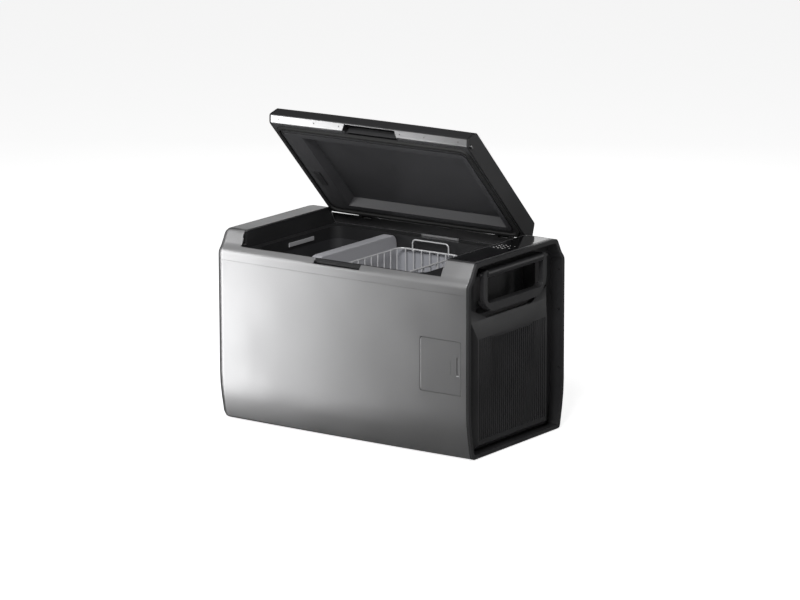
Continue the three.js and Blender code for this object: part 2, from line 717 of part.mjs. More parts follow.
function grilleIsland() {
  const back = END_FLOOR_X + GAP;
  const block = prism('x', grilleOutline(0), back, GRILLE_FACE_X);
  const sideBevel = (sign) => prism('z', [
    [back + 2, sign * (GRILLE_HALF + 24)], [GRILLE_FACE_X + 1, sign * (GRILLE_HALF + 3)],
    [GRILLE_FACE_X + 1, sign * (GRILLE_HALF + 40)], [back + 2, sign * (GRILLE_HALF + 40)],
  ], -FAR, FAR);
  const browBevel = prism('y', [
    [GRILLE_FACE_X - 12, BROW_Z + 60], [GRILLE_FACE_X - 10, BROW_Z - 2], [GRILLE_FACE_X, GRILLE_TOP],
    [GRILLE_FACE_X + 20, GRILLE_TOP], [GRILLE_FACE_X + 20, BROW_Z + 60],
  ], -FAR, FAR);
  const lowBevel = prism('y', [
    [back + 2, 10], [GRILLE_FACE_X + 2, GRILLE_BOTTOM - 8], [GRILLE_FACE_X + 20, GRILLE_BOTTOM - 8],
    [GRILLE_FACE_X + 20, -20], [back + 2, -20],
  ], -FAR, FAR);
  const hollow = box(
    0, GRILLE_FACE_X - 3, -GRILLE_HALF - 2, GRILLE_HALF + 2, GRILLE_BOTTOM - 4, GRILLE_TOP + 2,
  );
  const slots = spread(-GRILLE_HALF, GRILLE_HALF, SLOT_COUNT).map((y) => {
    const rise = Math.min(Math.max(0, Math.abs(y) - BROW_HALF * 0.8) * 0.45, 6);
    return box(0, FAR, y - SLOT_WIDTH / 2, y + SLOT_WIDTH / 2, GRILLE_BOTTOM, GRILLE_TOP - 6 + rise);
  });
  return without(block, [
    sideBevel(1), sideBevel(-1), browBevel, lowBevel, hollow, ...slots,
  ]);
}

addPart('right_end_frame', endFrame(), BLACK);
addPart('air_grille', grilleIsland(), BLACK);

function handlePocketCup() {
  const outer = box(HALF_LENGTH - 68, END_FLOOR_X - END_FLOOR_THICK - GAP, -124, 124, 313, 400);
  const inner = box(HALF_LENGTH - 65.5, FAR, -121, 121, 316, 397);
  return outer.subtract(inner);
}

addPart('right_handle_cup', handlePocketCup(), BLACK);

// ---------------------------------------------------------------- control panel

function panelGlass() {
  return prism('z', roundRect(PANEL.left, PANEL.right, -PANEL.half, PANEL.half, PANEL.corner),
    HEIGHT - PANEL.thick, HEIGHT);
}

addPart('control_glass', panelGlass(), GLOSS);
addPart('display_board', box(
  PANEL.left + 4, END_FLOOR_X - END_FLOOR_THICK - 3, -60, 80,
  HEIGHT - PANEL.thick - 6, HEIGHT - PANEL.thick - GAP,
), CIRCUIT);

// ---------------------------------------------------------------- hatch, battery and sockets

const HATCH_AXIS = {
  x: HATCH_LEFT + 2.2,
  y: -HALF_DEPTH + bowAt(HATCH_LEFT) + HATCH_THICK / 2,
};

function hatchDoor() {
  const sheet = FORM.subtract(bodyForm(HATCH_THICK, 0, FAR));
  const outline = roundRect(
    HATCH_AXIS.x, HATCH_RIGHT - HATCH_GAP,
    HATCH_BOTTOM + HATCH_GAP, HATCH_TOP - HATCH_GAP, HATCH_CORNER,
  );
  const panel = sheet.intersect(prism('y', outline, -FAR, 0));
  const knuckle = cylinder(
    'z', HATCH_THICK / 2, [HATCH_AXIS.x, HATCH_AXIS.y, (HATCH_BOTTOM + HATCH_TOP) / 2],
    HATCH_TOP - HATCH_BOTTOM - 2 * HATCH_CORNER - 1, 12,
  );
  const slot = roundRect(HATCH_RIGHT - 12, HATCH_RIGHT - 3, 193, 237, 4);
  const fingerSlot = prism('y', slot, -HALF_DEPTH - 5, -HALF_DEPTH + 5);
  const triangle = prism('y', [
    [HATCH_RIGHT - 27, 195], [HATCH_RIGHT - 20, 211], [HATCH_RIGHT - 27, 228],
  ], -HALF_DEPTH - 5, -HALF_DEPTH + 3.8);
  return without(panel.add(knuckle), [fingerSlot, triangle]);
}

const BAY = {
  left: HATCH_LEFT - 7, right: HATCH_RIGHT - 16, front: -HALF_DEPTH + 10, back: -HALF_DEPTH + 114,
  low: HATCH_BOTTOM - 7, high: HATCH_TOP + 7, wall: 2,
};

function batteryBay() {
  const { left, right, front, back, low, high, wall } = BAY;
  return box(left, right, front, back, low, high).subtract(
    box(left + wall, right - wall, front - 5, back - wall, low + wall, high - wall),
  );
}

const BATTERY = {
  left: BAY.left + 4, right: BAY.left + 71, front: BAY.front + 10, back: BAY.back - 6,
  low: BAY.low + 4, high: BAY.high - 7,
};

function batteryPack() {
  const { left, right, front, back, low, high } = BATTERY;
  const grip = box(left + 20, right - 20, front - 1, front + 6, high - 40, high - 22);
  return box(left, right, front, back, low, high).subtract(grip);
}

const SOCKETS = {
  left: BAY.left + 74, right: BAY.right - 3, front: BAY.front + 16, back: BAY.front + 26,
};

function socketPlate() {
  const { left, right, front, back } = SOCKETS;
  const middle = (left + right) / 2;
  const plate = box(left, right, front, back, BAY.low + 4, BAY.high - 4);
  return without(plate, [
    cylinder('y', 8, [middle, front, 175], 12, 14),
    cylinder('y', 5, [middle, front, 205], 12, 12),
    box(middle - 6.5, middle + 6.5, front - 1, front + 6, 235, 241),
  ]);
}

function socketCore(x, z, radius) {
  return cylinder('y', radius, [x, SOCKETS.front + 3, z], 5, 10);
}

addPart('hatch_door', hatchDoor(), SILVER);
addPart('battery_bay', batteryBay(), BLACK);
addPart('battery_pack', batteryPack(), BLACK);
addPart('socket_plate', socketPlate(), BLACK);
addPart('dc_inlet_core', socketCore((SOCKETS.left + SOCKETS.right) / 2, 175, 3.5), STEEL);

// ---------------------------------------------------------------- machine room

const COMPRESSOR = { x: HALF_LENGTH - 85, y: HALF_DEPTH - 100, z: 28 };

function compressor() {
  const profile = [
    [0, 0], [34, 0], [46, 12], [48, 40], [48, 72], [42, 96], [24, 110], [0, 112],
  ].map(([r, z]) => new THREE.Vector2(r, z));
  const geometry = new THREE.LatheGeometry(profile, 16);
  geometry.rotateX(Math.PI / 2);
  geometry.translate(COMPRESSOR.x, COMPRESSOR.y, COMPRESSOR.z);
  return manifoldOf(geometry);
}

function compressorMount() {
  const { x, y } = COMPRESSOR;
  const plate = box(x - 46, x + 46, y - 62, y + 62, 16, 20);
  const posts = [[-38, -54], [38, -54], [-38, 54], [38, 54]].map(([dx, dy]) => (
    cylinder('z', 5, [x + dx, y + dy, 13], 10, 8)));
  const seat = cylinder('z', 30, [x, y, 23], 9, 12);
  return union([plate, ...posts, seat]);
}

function condenser() {
  const fins = spread(FAN_Z - 60, FAN_Z + 60, 7).map((z) => (
    box(FAN_X - 44, FAN_X - 20, FAN_Y - 64, FAN_Y + 64, z - 1, z + 1)));
  const tubes = [-40, 40].map((dy) => cylinder('z', 4, [FAN_X - 32, FAN_Y + dy, FAN_Z], 130, 6));
  return union([...fins, ...tubes]);
}

function fanFrame() {
  const half = FAN_SIZE / 2;
  const block = prism('x', roundRect(
    FAN_Y - half, FAN_Y + half, FAN_Z - half, FAN_Z + half, 6,
  ), FAN_X, FAN_X + FAN_DEPTH);
  const duct = cylinder('x', half - 4, [FAN_X, FAN_Y, FAN_Z], 80, 28);
  const struts = [0, 60, 120].map((turn) => {
    const strut = box(0, 2.5, -half + 2, half - 2, -2.5, 2.5);
    return strut.rotate([turn, 0, 0]).translate([FAN_X, FAN_Y, FAN_Z]);
  });
  const motor = cylinder('x', 20, [FAN_X + 2, FAN_Y, FAN_Z], 4, 20);
  return union([block.subtract(duct), ...struts, motor]);
}

function fanImpeller() {
  const hub = cylinder('x', 19, [FAN_X + 15, FAN_Y, FAN_Z], 16, 20);
  const blades = spread(0, 360, 7).map((turn) => {
    const blade = box(-1, 1, 0, FAN_SIZE / 2 - 8, -9, 9).rotate([0, 38, 0]);
    const tip = cylinder('x', FAN_SIZE / 2 - 6.5, [0, 0, 0], 60, 28);
    return blade.intersect(tip).rotate([turn, 0, 0]).translate([FAN_X + 15, FAN_Y, FAN_Z]);
  });
  return union([hub, ...blades]).intersect(box(FAN_X + 5, FAN_X + FAN_DEPTH - 1, -FAR, FAR, -FAR, FAR));
}

function controlBoard() {
  const left = TUB_RIGHT + 22;
  return box(left, left + 4, -70, 90, 300, 380);
}

function suctionLine() {
  const path = new THREE.CatmullRomCurve3([
    [38, -48, 60], [24, -44, 110], [19, -46, 200], [19, -46, 290], [22, -42, 330],
  ].map(([dx, dy, z]) => new THREE.Vector3(TUB_RIGHT + dx, HALF_DEPTH + dy, z)));
  const circle = new THREE.Shape(Array.from({ length: 8 }, (_, i) => (
    new THREE.Vector2(3.2 * Math.cos(i * Math.PI / 4), 3.2 * Math.sin(i * Math.PI / 4)))));
  return manifoldOf(new THREE.ExtrudeGeometry(circle, { steps: 16, extrudePath: path }));
}

addPart('compressor', compressor(), BLACK);
addPart('compressor_mount', compressorMount(), STEEL);
addPart('condenser', condenser(), ALUMINIUM);
addPart('fan_frame', fanFrame(), BLACK);
addPart('fan_impeller', fanImpeller(), BLACK);
addPart('control_board', controlBoard(), CIRCUIT);
addPart('suction_line', suctionLine(), COPPER);

// ---------------------------------------------------------------- lid form

const LID_LEFT = OPENING_LEFT + LID_SIDE_GAP;
const LID_RIGHT = OPENING_RIGHT - LID_SIDE_GAP;
const LID_CAP = 4;
const LID_FOOT_INSET = 22;
const LID_EDGE_INSET = 8;
const LID_TOP_INSET = 24;

// Counter-clockwise (y, z) outline of the closed lid where the body's half depth is `half`.
function lidOutline(half) {
  const side = [
    [half - LID_FOOT_INSET, LID_BASE_Z],
    [half - LID_EDGE_INSET, LID_EDGE_Z],
    [half - LID_TOP_INSET, LID_TOP_Z],
  ];
  return [...side, ...side.map(([y, z]) => [-y, z]).reverse()];
}

function lidForm(depth, x0, x1) {
  const spans = 4;
  return loft(Array.from({ length: spans + 1 }, (_, k) => {
    const x = x0 + (x1 - x0) * k / spans;
    return { x, outline: softened(insetOutline(lidOutline(HALF_DEPTH - bowAt(x)), depth), 4) };
  }));
}

const LID_INNER_LEFT = LID_LEFT + LID_CAP + GAP;
const LID_INNER_RIGHT = LID_RIGHT - LID_CAP - GAP;

// ---------------------------------------------------------------- lid skin, latch strips and end caps

const CUTOUT = { half: 69, back: -HALF_DEPTH + 38, high: 420.5, slope: 6 };

// Finger recess in the front edge of the lid, wider at the bottom.
function lidCutout(grow = 0) {
  const { half, back, high, slope } = CUTOUT;
  const outline = [
    [LATCH.x - half - slope - grow, 0], [LATCH.x + half + slope + grow, 0],
    [LATCH.x + half + slope + grow, LID_BASE_Z - 1], [LATCH.x + half + grow, high + grow],
    [LATCH.x - half - grow, high + grow], [LATCH.x - half - slope - grow, LID_BASE_Z - 1],
  ];
  return prism('y', outline, -FAR, back + grow);
}

const STRIP = { thick: 1.6, back: -HALF_DEPTH + 26.7, high: 421.8 };
const LINER_PLATE = 5;
const LINER_FRONT = STRIP.back + GAP;
const LINER_BACK = HALF_DEPTH - 32;
const HINGE_PLATE = { wide: 6, front: HALF_DEPTH - 19, back: HALF_DEPTH - 15, low: 415, high: 440 };

// Openings in the back edge of the lid for the hinge ears.
function lidHingeNotches(clearance, front) {
  const half = HINGE_EAR / 2 + clearance;
  return hingeCentres().map((x) => box(x - half, x + half, front, FAR, 0, FAR));
}

function lidSkin() {
  const outer = lidForm(0, LID_INNER_LEFT, LID_INNER_RIGHT);
  return without(outer, [
    lidForm(LID_SKIN, LID_LEFT - 20, LID_RIGHT + 20),
    box(-FAR, FAR, STRIP.back, LINER_BACK, -FAR, LID_BASE_Z + LINER_PLATE),
    box(-FAR, FAR, -FAR, STRIP.back + 1, -FAR, STRIP.high + GAP),
    ...lidHingeNotches(1, HINGE_PLATE.back - 0.5),
  ]);
}

const STRIP_SCREWS = {
  left: [-253, -153, -84], right: [83, 149, 240], radius: 1.7, y: -HALF_DEPTH + 15, z: 416,
};

// Bright strip on the sloped front edge of the lid, on one side of the finger recess.
function latchStrip(x0, x1, screws) {
  const { radius, y, z } = STRIP_SCREWS;
  const sheet = lidForm(0, x0, x1).subtract(lidForm(STRIP.thick, x0 - 1, x1 + 1));
  const band = sheet.intersect(box(-FAR, FAR, -FAR, STRIP.back, -FAR, STRIP.high));
  const dimples = screws.map((x) => (
    cylinder('y', radius, [0, 0, 0], 2.4, 8).rotate([45, 0, 0]).translate([x, y - bowAt(0), z])));
  return without(band, [lidCutout(), ...dimples]);
}

function latchChannel(sign) {
  const x0 = sign < 0 ? LID_LEFT - 20 : LID_RIGHT - 42;
  const x1 = sign < 0 ? LID_LEFT + 42 : LID_RIGHT + 20;
  return box(
    x0, x1, LATCH.y - LATCH.wide / 2 - 0.5, LATCH.y + LATCH.wide / 2 + 0.5,
    LATCH.z - LATCH.thick / 2 - 0.5, LATCH.z + LATCH.thick / 2 + 0.5,
  );
}

function lidEndCap(sign) {
  const x0 = sign < 0 ? LID_LEFT : LID_RIGHT - LID_CAP;
  return lidForm(0, x0, x0 + LID_CAP).subtract(latchChannel(sign));
}

// ---------------------------------------------------------------- lid liner, foam and gasket

const TRAY = {
  left: LID_LEFT + 72, right: LID_RIGHT - 34, half: HALF_DEPTH - 66, depth: 15, slope: 12, wall: 2.5,
};
const PLUG = { left: LID_LEFT + 22, right: LID_RIGHT - 22, half: HALF_DEPTH - 53, corner: 16 };
const GASKET = { inset: 7, half: HALF_DEPTH - 34, wide: 8, deep: 2.5, corner: 24 };

function gasketRing(widen, low, high) {
  const outline = (grow) => roundRect(
    LID_LEFT + GASKET.inset - grow, LID_RIGHT - GASKET.inset + grow,
    -GASKET.half - grow, GASKET.half + grow, GASKET.corner + grow,
  );
  return prism('z', outline(widen), low, high).subtract(
    prism('z', outline(-GASKET.wide - widen), low - 1, high + 1));
}

// Frustum through eight corners: four low ones, then four high ones.
function frustum(corners) {
  const geometry = new THREE.BufferGeometry();
  geometry.setAttribute('position', new THREE.Float32BufferAttribute(corners.flat(), 3));
  const quads = [[0, 3, 2, 1], [4, 5, 6, 7], [0, 1, 5, 4], [1, 2, 6, 5], [2, 3, 7, 6], [3, 0, 4, 7]];
  geometry.setIndex(quads.flatMap(([a, b, c, d]) => [a, b, c, a, c, d]));
  return manifoldOf(geometry);
}

function trayHollow(grow) {
  const { left, right, half, depth, slope } = TRAY;
  const ring = (inset, z) => [
    [left + inset, -half + inset, z], [right - inset, -half + inset, z],
    [right - inset, half - inset, z], [left + inset, half - inset, z],
  ];
  return frustum([...ring(-grow, LID_PLUG_Z - 1), ...ring(slope - grow, LID_BASE_Z + depth + grow)]);
}

const SENSOR = { left: LID_LEFT + 35, right: LID_LEFT + 53, front: 2, back: 55, thick: 1.5 };

function lidLiner() {
  const plate = box(
    LID_INNER_LEFT, LID_INNER_RIGHT, LINER_FRONT, LINER_BACK - GAP, LID_BASE_Z, LID_BASE_Z + LINER_PLATE,
  );
  const plug = prism('z', roundRect(
    PLUG.left, PLUG.right, -PLUG.half, PLUG.half, PLUG.corner,
  ), LID_PLUG_Z, LID_BASE_Z + 1);
  const trayWall = trayHollow(TRAY.wall).intersect(box(-FAR, FAR, -FAR, FAR, LID_BASE_Z, FAR));
  return without(union([plate, plug, trayWall]), [
    trayHollow(0),
    gasketRing(GAP, LID_BASE_Z - 1, LID_BASE_Z + GASKET.deep),
    lidCutout(GAP),
    latchChannel(-1),
    latchChannel(1),
  ]);
}

function lidSensor() {
  const { left, right, front, back, thick } = SENSOR;
  return prism('z', roundRect(left, right, front, back, 5), LID_PLUG_Z - GAP - thick, LID_PLUG_Z - GAP);
}

function lidFoam() {
  const block = lidForm(LID_SKIN + GAP, LID_INNER_LEFT, LID_INNER_RIGHT);
  return without(block, [
    box(-FAR, FAR, -FAR, FAR, -FAR, LID_BASE_Z + LINER_PLATE + GAP),
    trayHollow(TRAY.wall + GAP),
    latchHousingBlock(GAP),
    box(
      LATCH.x - HOUSING.half - GAP, LATCH.x + HOUSING.half + GAP,
      -FAR, HOUSING.back, 0, HOUSING.high + GAP,
    ),
    latchChannel(-1),
    latchChannel(1),
    ...lidHingeNotches(HINGE_PLATE.wide + GAP, HINGE_PLATE.front - GAP),
  ]);
}

// ---------------------------------------------------------------- latch

const HOUSING = {
  half: 78, front: -HALF_DEPTH + 15, back: -HALF_DEPTH + 40.5, high: 433, wall: 2,
};

function latchHousingBlock(grow) {
  const { half, front, back, high } = HOUSING;
  return box(
    LATCH.x - half - grow, LATCH.x + half + grow, front - grow, back + grow,
    LID_BASE_Z + LINER_PLATE + GAP - grow, high + grow,
  );
}

// Dark cup behind the finger recess that carries the paddle.
function latchHousing() {
  const { half, back, high, wall } = HOUSING;
  const hollow = box(LATCH.x - half + wall, LATCH.x + half - wall, -FAR, back - wall, 0, high - wall);
  const shell = latchHousingBlock(0).intersect(lidForm(LID_SKIN + GAP, LID_LEFT, LID_RIGHT));
  return shell.subtract(hollow);
}

const PADDLE = { half: 66, y: LATCH.y, z: 427, thick: 3, drop: 14, barrel: 2.2 };

function releasePaddle() {
  const { half, y, z, thick, drop, barrel } = PADDLE;
  const blade = box(LATCH.x - half, LATCH.x + half, y - thick / 2, y + thick / 2, z - drop, z);
  return blade.add(cylinder('x', barrel, [LATCH.x, y, z], 2 * half, 10));
}

function latchBolt(sign) {
  const tip = sign < 0 ? LID_LEFT - LATCH.proud : LID_RIGHT + LATCH.proud;
  const tail = sign < 0 ? LID_LEFT + 30 : LID_RIGHT - 30;
  return box(
    Math.min(tip, tail), Math.max(tip, tail), LATCH.y - LATCH.wide / 2, LATCH.y + LATCH.wide / 2,
    LATCH.z - LATCH.thick / 2, LATCH.z + LATCH.thick / 2,
  );
}

// ---------------------------------------------------------------- hinges

function hingeBore(x) {
  return cylinder('x', HINGE_PIN + 0.25, [x, HINGE_Y, HINGE_Z], 4 * BRACKET_HALF, 16);
}

// Knuckle on a web from a plate inside the lid; the plate closes the notch in the lid skin.
function hingeEar(x) {
  const { wide, front, back, low, high } = HINGE_PLATE;
  const half = HINGE_EAR / 2 + wide;
  const plate = box(x - half, x + half, front, back, low, high)
    .intersect(lidForm(LID_SKIN + GAP, LID_LEFT, LID_RIGHT));
  const knuckle = cylinder('x', HINGE_KNUCKLE, [x, HINGE_Y, HINGE_Z], HINGE_EAR, 18);
  const web = prism('x', [
    [back - 1, HINGE_Z - 6], [HINGE_Y - 2, HINGE_Z - 5.5],
    [HINGE_Y - 2, HINGE_Z + 5.5], [back - 1, HINGE_Z + 1],
  ], x - HINGE_EAR / 2, x + HINGE_EAR / 2);
  return union([plate, knuckle, web]).subtract(hingeBore(x));
}

// Two posts that carry the pin, joined below the knuckle.
function hingePosts(x) {
  const foot = box(
    x - BRACKET_HALF, x + BRACKET_HALF,
    HINGE_Y - HINGE_KNUCKLE, HINGE_Y + HINGE_KNUCKLE - 1, HINGE_FOOT_Z, HINGE_Z,
  );
  return foot.add(cylinder('x', HINGE_KNUCKLE, [x, HINGE_Y, HINGE_Z], 2 * BRACKET_HALF, 18));
}

const RAIL = {
  left: -HALF_LENGTH + 44, right: HALF_LENGTH - 60,
  front: 5.4, back: 0.8, lift: 0.5, high: 425.5, corner: 1.5,
};
const EAR_SLOT = { side: 0.6, below: 0.5 };

// Rail behind the lid that follows the bow of the rim and carries both hinges.
function hingeRail() {
  const { left: x0, right: x1, front, back, lift, high, corner } = RAIL;
  const spans = 8;
  const bar = loft(Array.from({ length: spans + 1 }, (_, k) => {
    const x = x0 + (x1 - x0) * k / spans;
    const half = HALF_DEPTH - bowAt(x);
    return {
      x,
      outline: [
        [half - front, BEVEL_LOW_Z + front + lift], [half - back, BEVEL_LOW_Z + back + lift],
        [half - back, high - corner], [half - back - corner, high], [half - front, high],
      ],
    };
  }));
  const slotHalf = HINGE_EAR / 2 + EAR_SLOT.side;
  const slotFloor = HINGE_Z - HINGE_KNUCKLE - EAR_SLOT.below;
  return without(union([bar, ...hingeCentres().map(hingePosts)]), hingeCentres().flatMap((x) => [
    box(x - slotHalf, x + slotHalf, -FAR, FAR, slotFloor, FAR), hingeBore(x),
  ]));
}

addLidPart('lid_skin', lidSkin(), GRAPHITE);
addLidPart('latch_strip_left', latchStrip(LID_INNER_LEFT, LATCH.x, STRIP_SCREWS.left), SILVER);
addLidPart('latch_strip_right', latchStrip(LATCH.x, LID_INNER_RIGHT, STRIP_SCREWS.right), SILVER);
addLidPart('lid_end_cap_left', lidEndCap(-1), BLACK);
addLidPart('lid_end_cap_right', lidEndCap(1), BLACK);
addLidPart('lid_liner', lidLiner(), DARK);
addLidPart('lid_sensor', lidSensor(), BLACK);
addLidPart('lid_foam', lidFoam(), FOAM);
addLidPart('lid_gasket', gasketRing(0, LEDGE_Z + 0.7, LID_BASE_Z + GASKET.deep - GAP), RUBBER);
addLidPart('latch_housing', latchHousing(), BLACK);
addLidPart('release_paddle', releasePaddle(), BLACK);
addLidPart('latch_bolt_left', latchBolt(-1), STEEL);
addLidPart('latch_bolt_right', latchBolt(1), STEEL);
hingeCentres().forEach((x, i) => {
  const side = i === 0 ? 'left' : 'right';
  addLidPart(`hinge_ear_${side}`, hingeEar(x), BLACK);
  addPart(`hinge_pin_${side}`, cylinder(
    'x', HINGE_PIN, [x, HINGE_Y, HINGE_Z], 2 * BRACKET_HALF - 1, 16,
  ), STEEL);
});

addPart('hinge_rail', hingeRail(), BLACK);

export default cooler;
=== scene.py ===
"""Looks of a portable compressor cooler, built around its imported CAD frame.

Metres. +X towards the machine room, -Y front, +Y hinge side, +Z up.
"""

import json
import logging
import math
from dataclasses import dataclass, field
from enum import Enum

import bmesh
import bpy
from mathutils import Matrix, Vector

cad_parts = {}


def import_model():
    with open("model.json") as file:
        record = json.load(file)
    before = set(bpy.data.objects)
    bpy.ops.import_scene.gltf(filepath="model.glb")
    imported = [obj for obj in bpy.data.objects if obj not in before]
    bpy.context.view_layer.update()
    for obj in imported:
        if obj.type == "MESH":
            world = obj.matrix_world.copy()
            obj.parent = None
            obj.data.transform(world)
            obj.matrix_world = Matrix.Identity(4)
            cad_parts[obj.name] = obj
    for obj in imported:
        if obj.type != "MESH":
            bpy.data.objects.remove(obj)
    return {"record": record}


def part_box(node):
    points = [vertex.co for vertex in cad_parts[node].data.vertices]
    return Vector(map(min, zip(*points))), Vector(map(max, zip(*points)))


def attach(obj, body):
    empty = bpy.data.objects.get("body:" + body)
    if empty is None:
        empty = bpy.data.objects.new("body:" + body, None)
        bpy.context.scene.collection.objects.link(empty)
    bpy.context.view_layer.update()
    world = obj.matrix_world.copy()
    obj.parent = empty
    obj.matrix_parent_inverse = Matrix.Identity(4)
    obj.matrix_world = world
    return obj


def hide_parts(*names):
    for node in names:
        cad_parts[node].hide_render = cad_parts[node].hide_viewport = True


LOG = logging.getLogger("cooler")
MM = 0.001


class Body(Enum):
    """The moving bodies of the cooler."""

    CABINET = "cabinet"
    LID = "lid"
    PADDLE = "paddle"
    BOLT_LEFT = "bolt_left"
    BOLT_RIGHT = "bolt_right"
    HANDLE_RIGHT = "handle_right"
    HANDLE_LEFT = "handle_left"
    HATCH = "hatch"
    FAN = "fan"


class Grain(Enum):
    """The kinds of surface texture."""

    METALLIC = "metallic paint"
    MOULDED = "fine moulded grain"
    SATIN = "smooth satin"
    BRUSHED = "brushed along x"
    FOAM = "cut foam"
    TRACES = "board tracks"


# ---------------------------------------------------------------- finishes


class Nodes:
    """Short calls for building one material's node tree."""

    def __init__(self, material: bpy.types.Material) -> None:
        """Clears the material's tree and adds its output."""
        material.use_nodes = True
        self.tree = material.node_tree
        self.tree.nodes.clear()
        self.output = self.tree.nodes.new("ShaderNodeOutputMaterial")

    def add(self, kind: str, **values: object) -> bpy.types.Node:
        """Adds a node.

        Args:
            kind: the node's Blender type name.
            values: settings of the node; a name that is an input socket sets the socket.

        Returns:
            The new node.
        """
        node = self.tree.nodes.new(kind)
        for key, value in values.items():
            label = key.replace("_", " ").title()
            if label in node.inputs:
                node.inputs[label].default_value = value
            else:
                setattr(node, key, value)
        return node

    def join(self, out: bpy.types.NodeSocket, into: bpy.types.NodeSocket) -> None:
        """Links one output to one input."""
        self.tree.links.new(out, into)

    def spread(self, out: bpy.types.NodeSocket, low: float, high: float) -> bpy.types.NodeSocket:
        """Maps a texture value from 0.3..0.7 to low..high.

        Args:
            out: the texture value.
            low: the result at the dark end.
            high: the result at the light end.

        Returns:
            The mapped value.
        """
        node = self.tree.nodes.new("ShaderNodeMapRange")
        self.join(out, node.inputs["Value"])
        node.inputs["From Min"].default_value = 0.3
        node.inputs["From Max"].default_value = 0.7
        node.inputs["To Min"].default_value = low
        node.inputs["To Max"].default_value = high
        return node.outputs["Result"]


@dataclass(frozen=True)
class Finish:
    """One surface finish of the cooler, with its texture at real scale."""

    name: str
    colour: tuple[float, float, float]
    grain: Grain
    roughness: float
    metallic: float = 0.0
    grain_size: float = 0.0009
    relief: float = 0.00003
    shift: float = 0.12
    edge: float = 0.0005
    coat: float = 0.0
    coat_roughness: float = 0.1
    second: tuple[float, float, float] | None = None

    def texture(self, nodes: Nodes, place: bpy.types.NodeSocket) -> bpy.types.NodeSocket:
        """Adds the fine texture that carries the relief.

        Args:
            nodes: the material's node builder.
            place: the object coordinates.

        Returns:
            The texture's value.
        """
        if self.grain is Grain.BRUSHED:
            stretch = nodes.add("ShaderNodeMapping")
            stretch.inputs["Scale"].default_value = (0.03, 1.0, 1.0)
            nodes.join(place, stretch.inputs["Vector"])
            place = stretch.outputs["Vector"]
        if self.grain in (Grain.FOAM, Grain.MOULDED):
            cells = nodes.add("ShaderNodeTexVoronoi", scale=1.0 / self.grain_size, feature="SMOOTH_F1")
            nodes.join(place, cells.inputs["Vector"])
            return cells.outputs["Distance"]
        noise = nodes.add("ShaderNodeTexNoise", scale=1.0 / self.grain_size, detail=3.0)
        nodes.join(place, noise.inputs["Vector"])
        return noise.outputs["Fac"]

    def build(self) -> bpy.types.Material:
        """Builds the material.

        Returns:
            The finished material.
        """
        material = bpy.data.materials.new(self.name)
        nodes = Nodes(material)
        place = nodes.add("ShaderNodeTexCoord").outputs["Object"]
        shader = nodes.add("ShaderNodeBsdfPrincipled", metallic=self.metallic)
        if self.coat:
            shader.inputs["Coat Weight"].default_value = self.coat
            shader.inputs["Coat Roughness"].default_value = self.coat_roughness
        nodes.join(shader.outputs["BSDF"], nodes.output.inputs["Surface"])
        fine = self.texture(nodes, place)
        broad = nodes.add("ShaderNodeTexNoise", scale=9.0, detail=2.0)
        nodes.join(place, broad.inputs["Vector"])
        tint = nodes.add("ShaderNodeMix", data_type="RGBA")
        tint.inputs[6].default_value = (*self.colour, 1.0)
        other = self.second or tuple(min(c * (1 + self.shift), 1.0) for c in self.colour)
        tint.inputs[7].default_value = (*other, 1.0)
        nodes.join(self.tint_factor(nodes, place, fine, broad.outputs["Fac"]), tint.inputs[0])
        nodes.join(tint.outputs[2], shader.inputs["Base Color"])
        rough = nodes.spread(broad.outputs["Fac"], self.roughness * 0.93, self.roughness * 1.07)
        nodes.join(rough, shader.inputs["Roughness"])
        rounded = nodes.add("ShaderNodeBevel", samples=4)
        rounded.inputs["Radius"].default_value = self.edge
        bump = nodes.add("ShaderNodeBump", strength=0.6)
        bump.inputs["Distance"].default_value = self.relief
        nodes.join(fine, bump.inputs["Height"])
        nodes.join(rounded.outputs["Normal"], bump.inputs["Normal"])
        nodes.join(bump.outputs["Normal"], shader.inputs["Normal"])
        return material

    def tint_factor(
        self,
        nodes: Nodes,
        place: bpy.types.NodeSocket,
        fine: bpy.types.NodeSocket,
        broad: bpy.types.NodeSocket,
    ) -> bpy.types.NodeSocket:
        """Chooses what mixes the two colours.

        Args:
            nodes: the material's node builder.
            place: the object coordinates.
            fine: the fine texture.
            broad: the slow texture.

        Returns:
            A value from 0 to 1.
        """
        if self.grain is Grain.TRACES:
            brick = nodes.add("ShaderNodeTexBrick", scale=260.0)
            nodes.join(place, brick.inputs["Vector"])
            return brick.outputs["Fac"]
        if self.grain in (Grain.METALLIC, Grain.BRUSHED):
            return nodes.spread(fine, 0.0, 1.0)
        return nodes.spread(broad, 0.0, 1.0)


SILVER = Finish(
    "silver_paint", (0.42, 0.42, 0.425), Grain.METALLIC,
    0.38, 0.97, 0.00035, 0.000012, 0.16, coat=0.03,
)
# Brushed metal for the latch strips and the rear grip, coloured lighter than the shell's silver: partly the
# metal's own tone, partly a painted highlight for the light these faces catch.
BRUSHED_WITH_PAINTED_HIGHLIGHT = Finish("brushed_silver_painted_highlight", (0.55, 0.55, 0.555), Grain.BRUSHED, 0.33, 1.0, 0.0004, 0.000012, 0.12)
GRAPHITE = Finish(
    "graphite_paint", (0.075, 0.075, 0.078), Grain.METALLIC,
    0.34, 0.75, 0.00035, 0.00001, 0.3, coat=0.2,
)
BLACK = Finish("black_moulding", (0.0125, 0.0125, 0.0132), Grain.MOULDED, 0.42, 0.0, 0.0007, 0.00004, 0.35)
GRIP = Finish(
    "handle_moulding", (0.016, 0.016, 0.0168), Grain.MOULDED,
    0.5, 0.0, 0.0009, 0.00006, 0.3, edge=0.0012,
)
LINER = Finish(
    "lid_liner_satin", (0.034, 0.034, 0.036), Grain.SATIN,
    0.42, 0.0, 0.0016, 0.00001, 0.2, edge=0.0016,
)
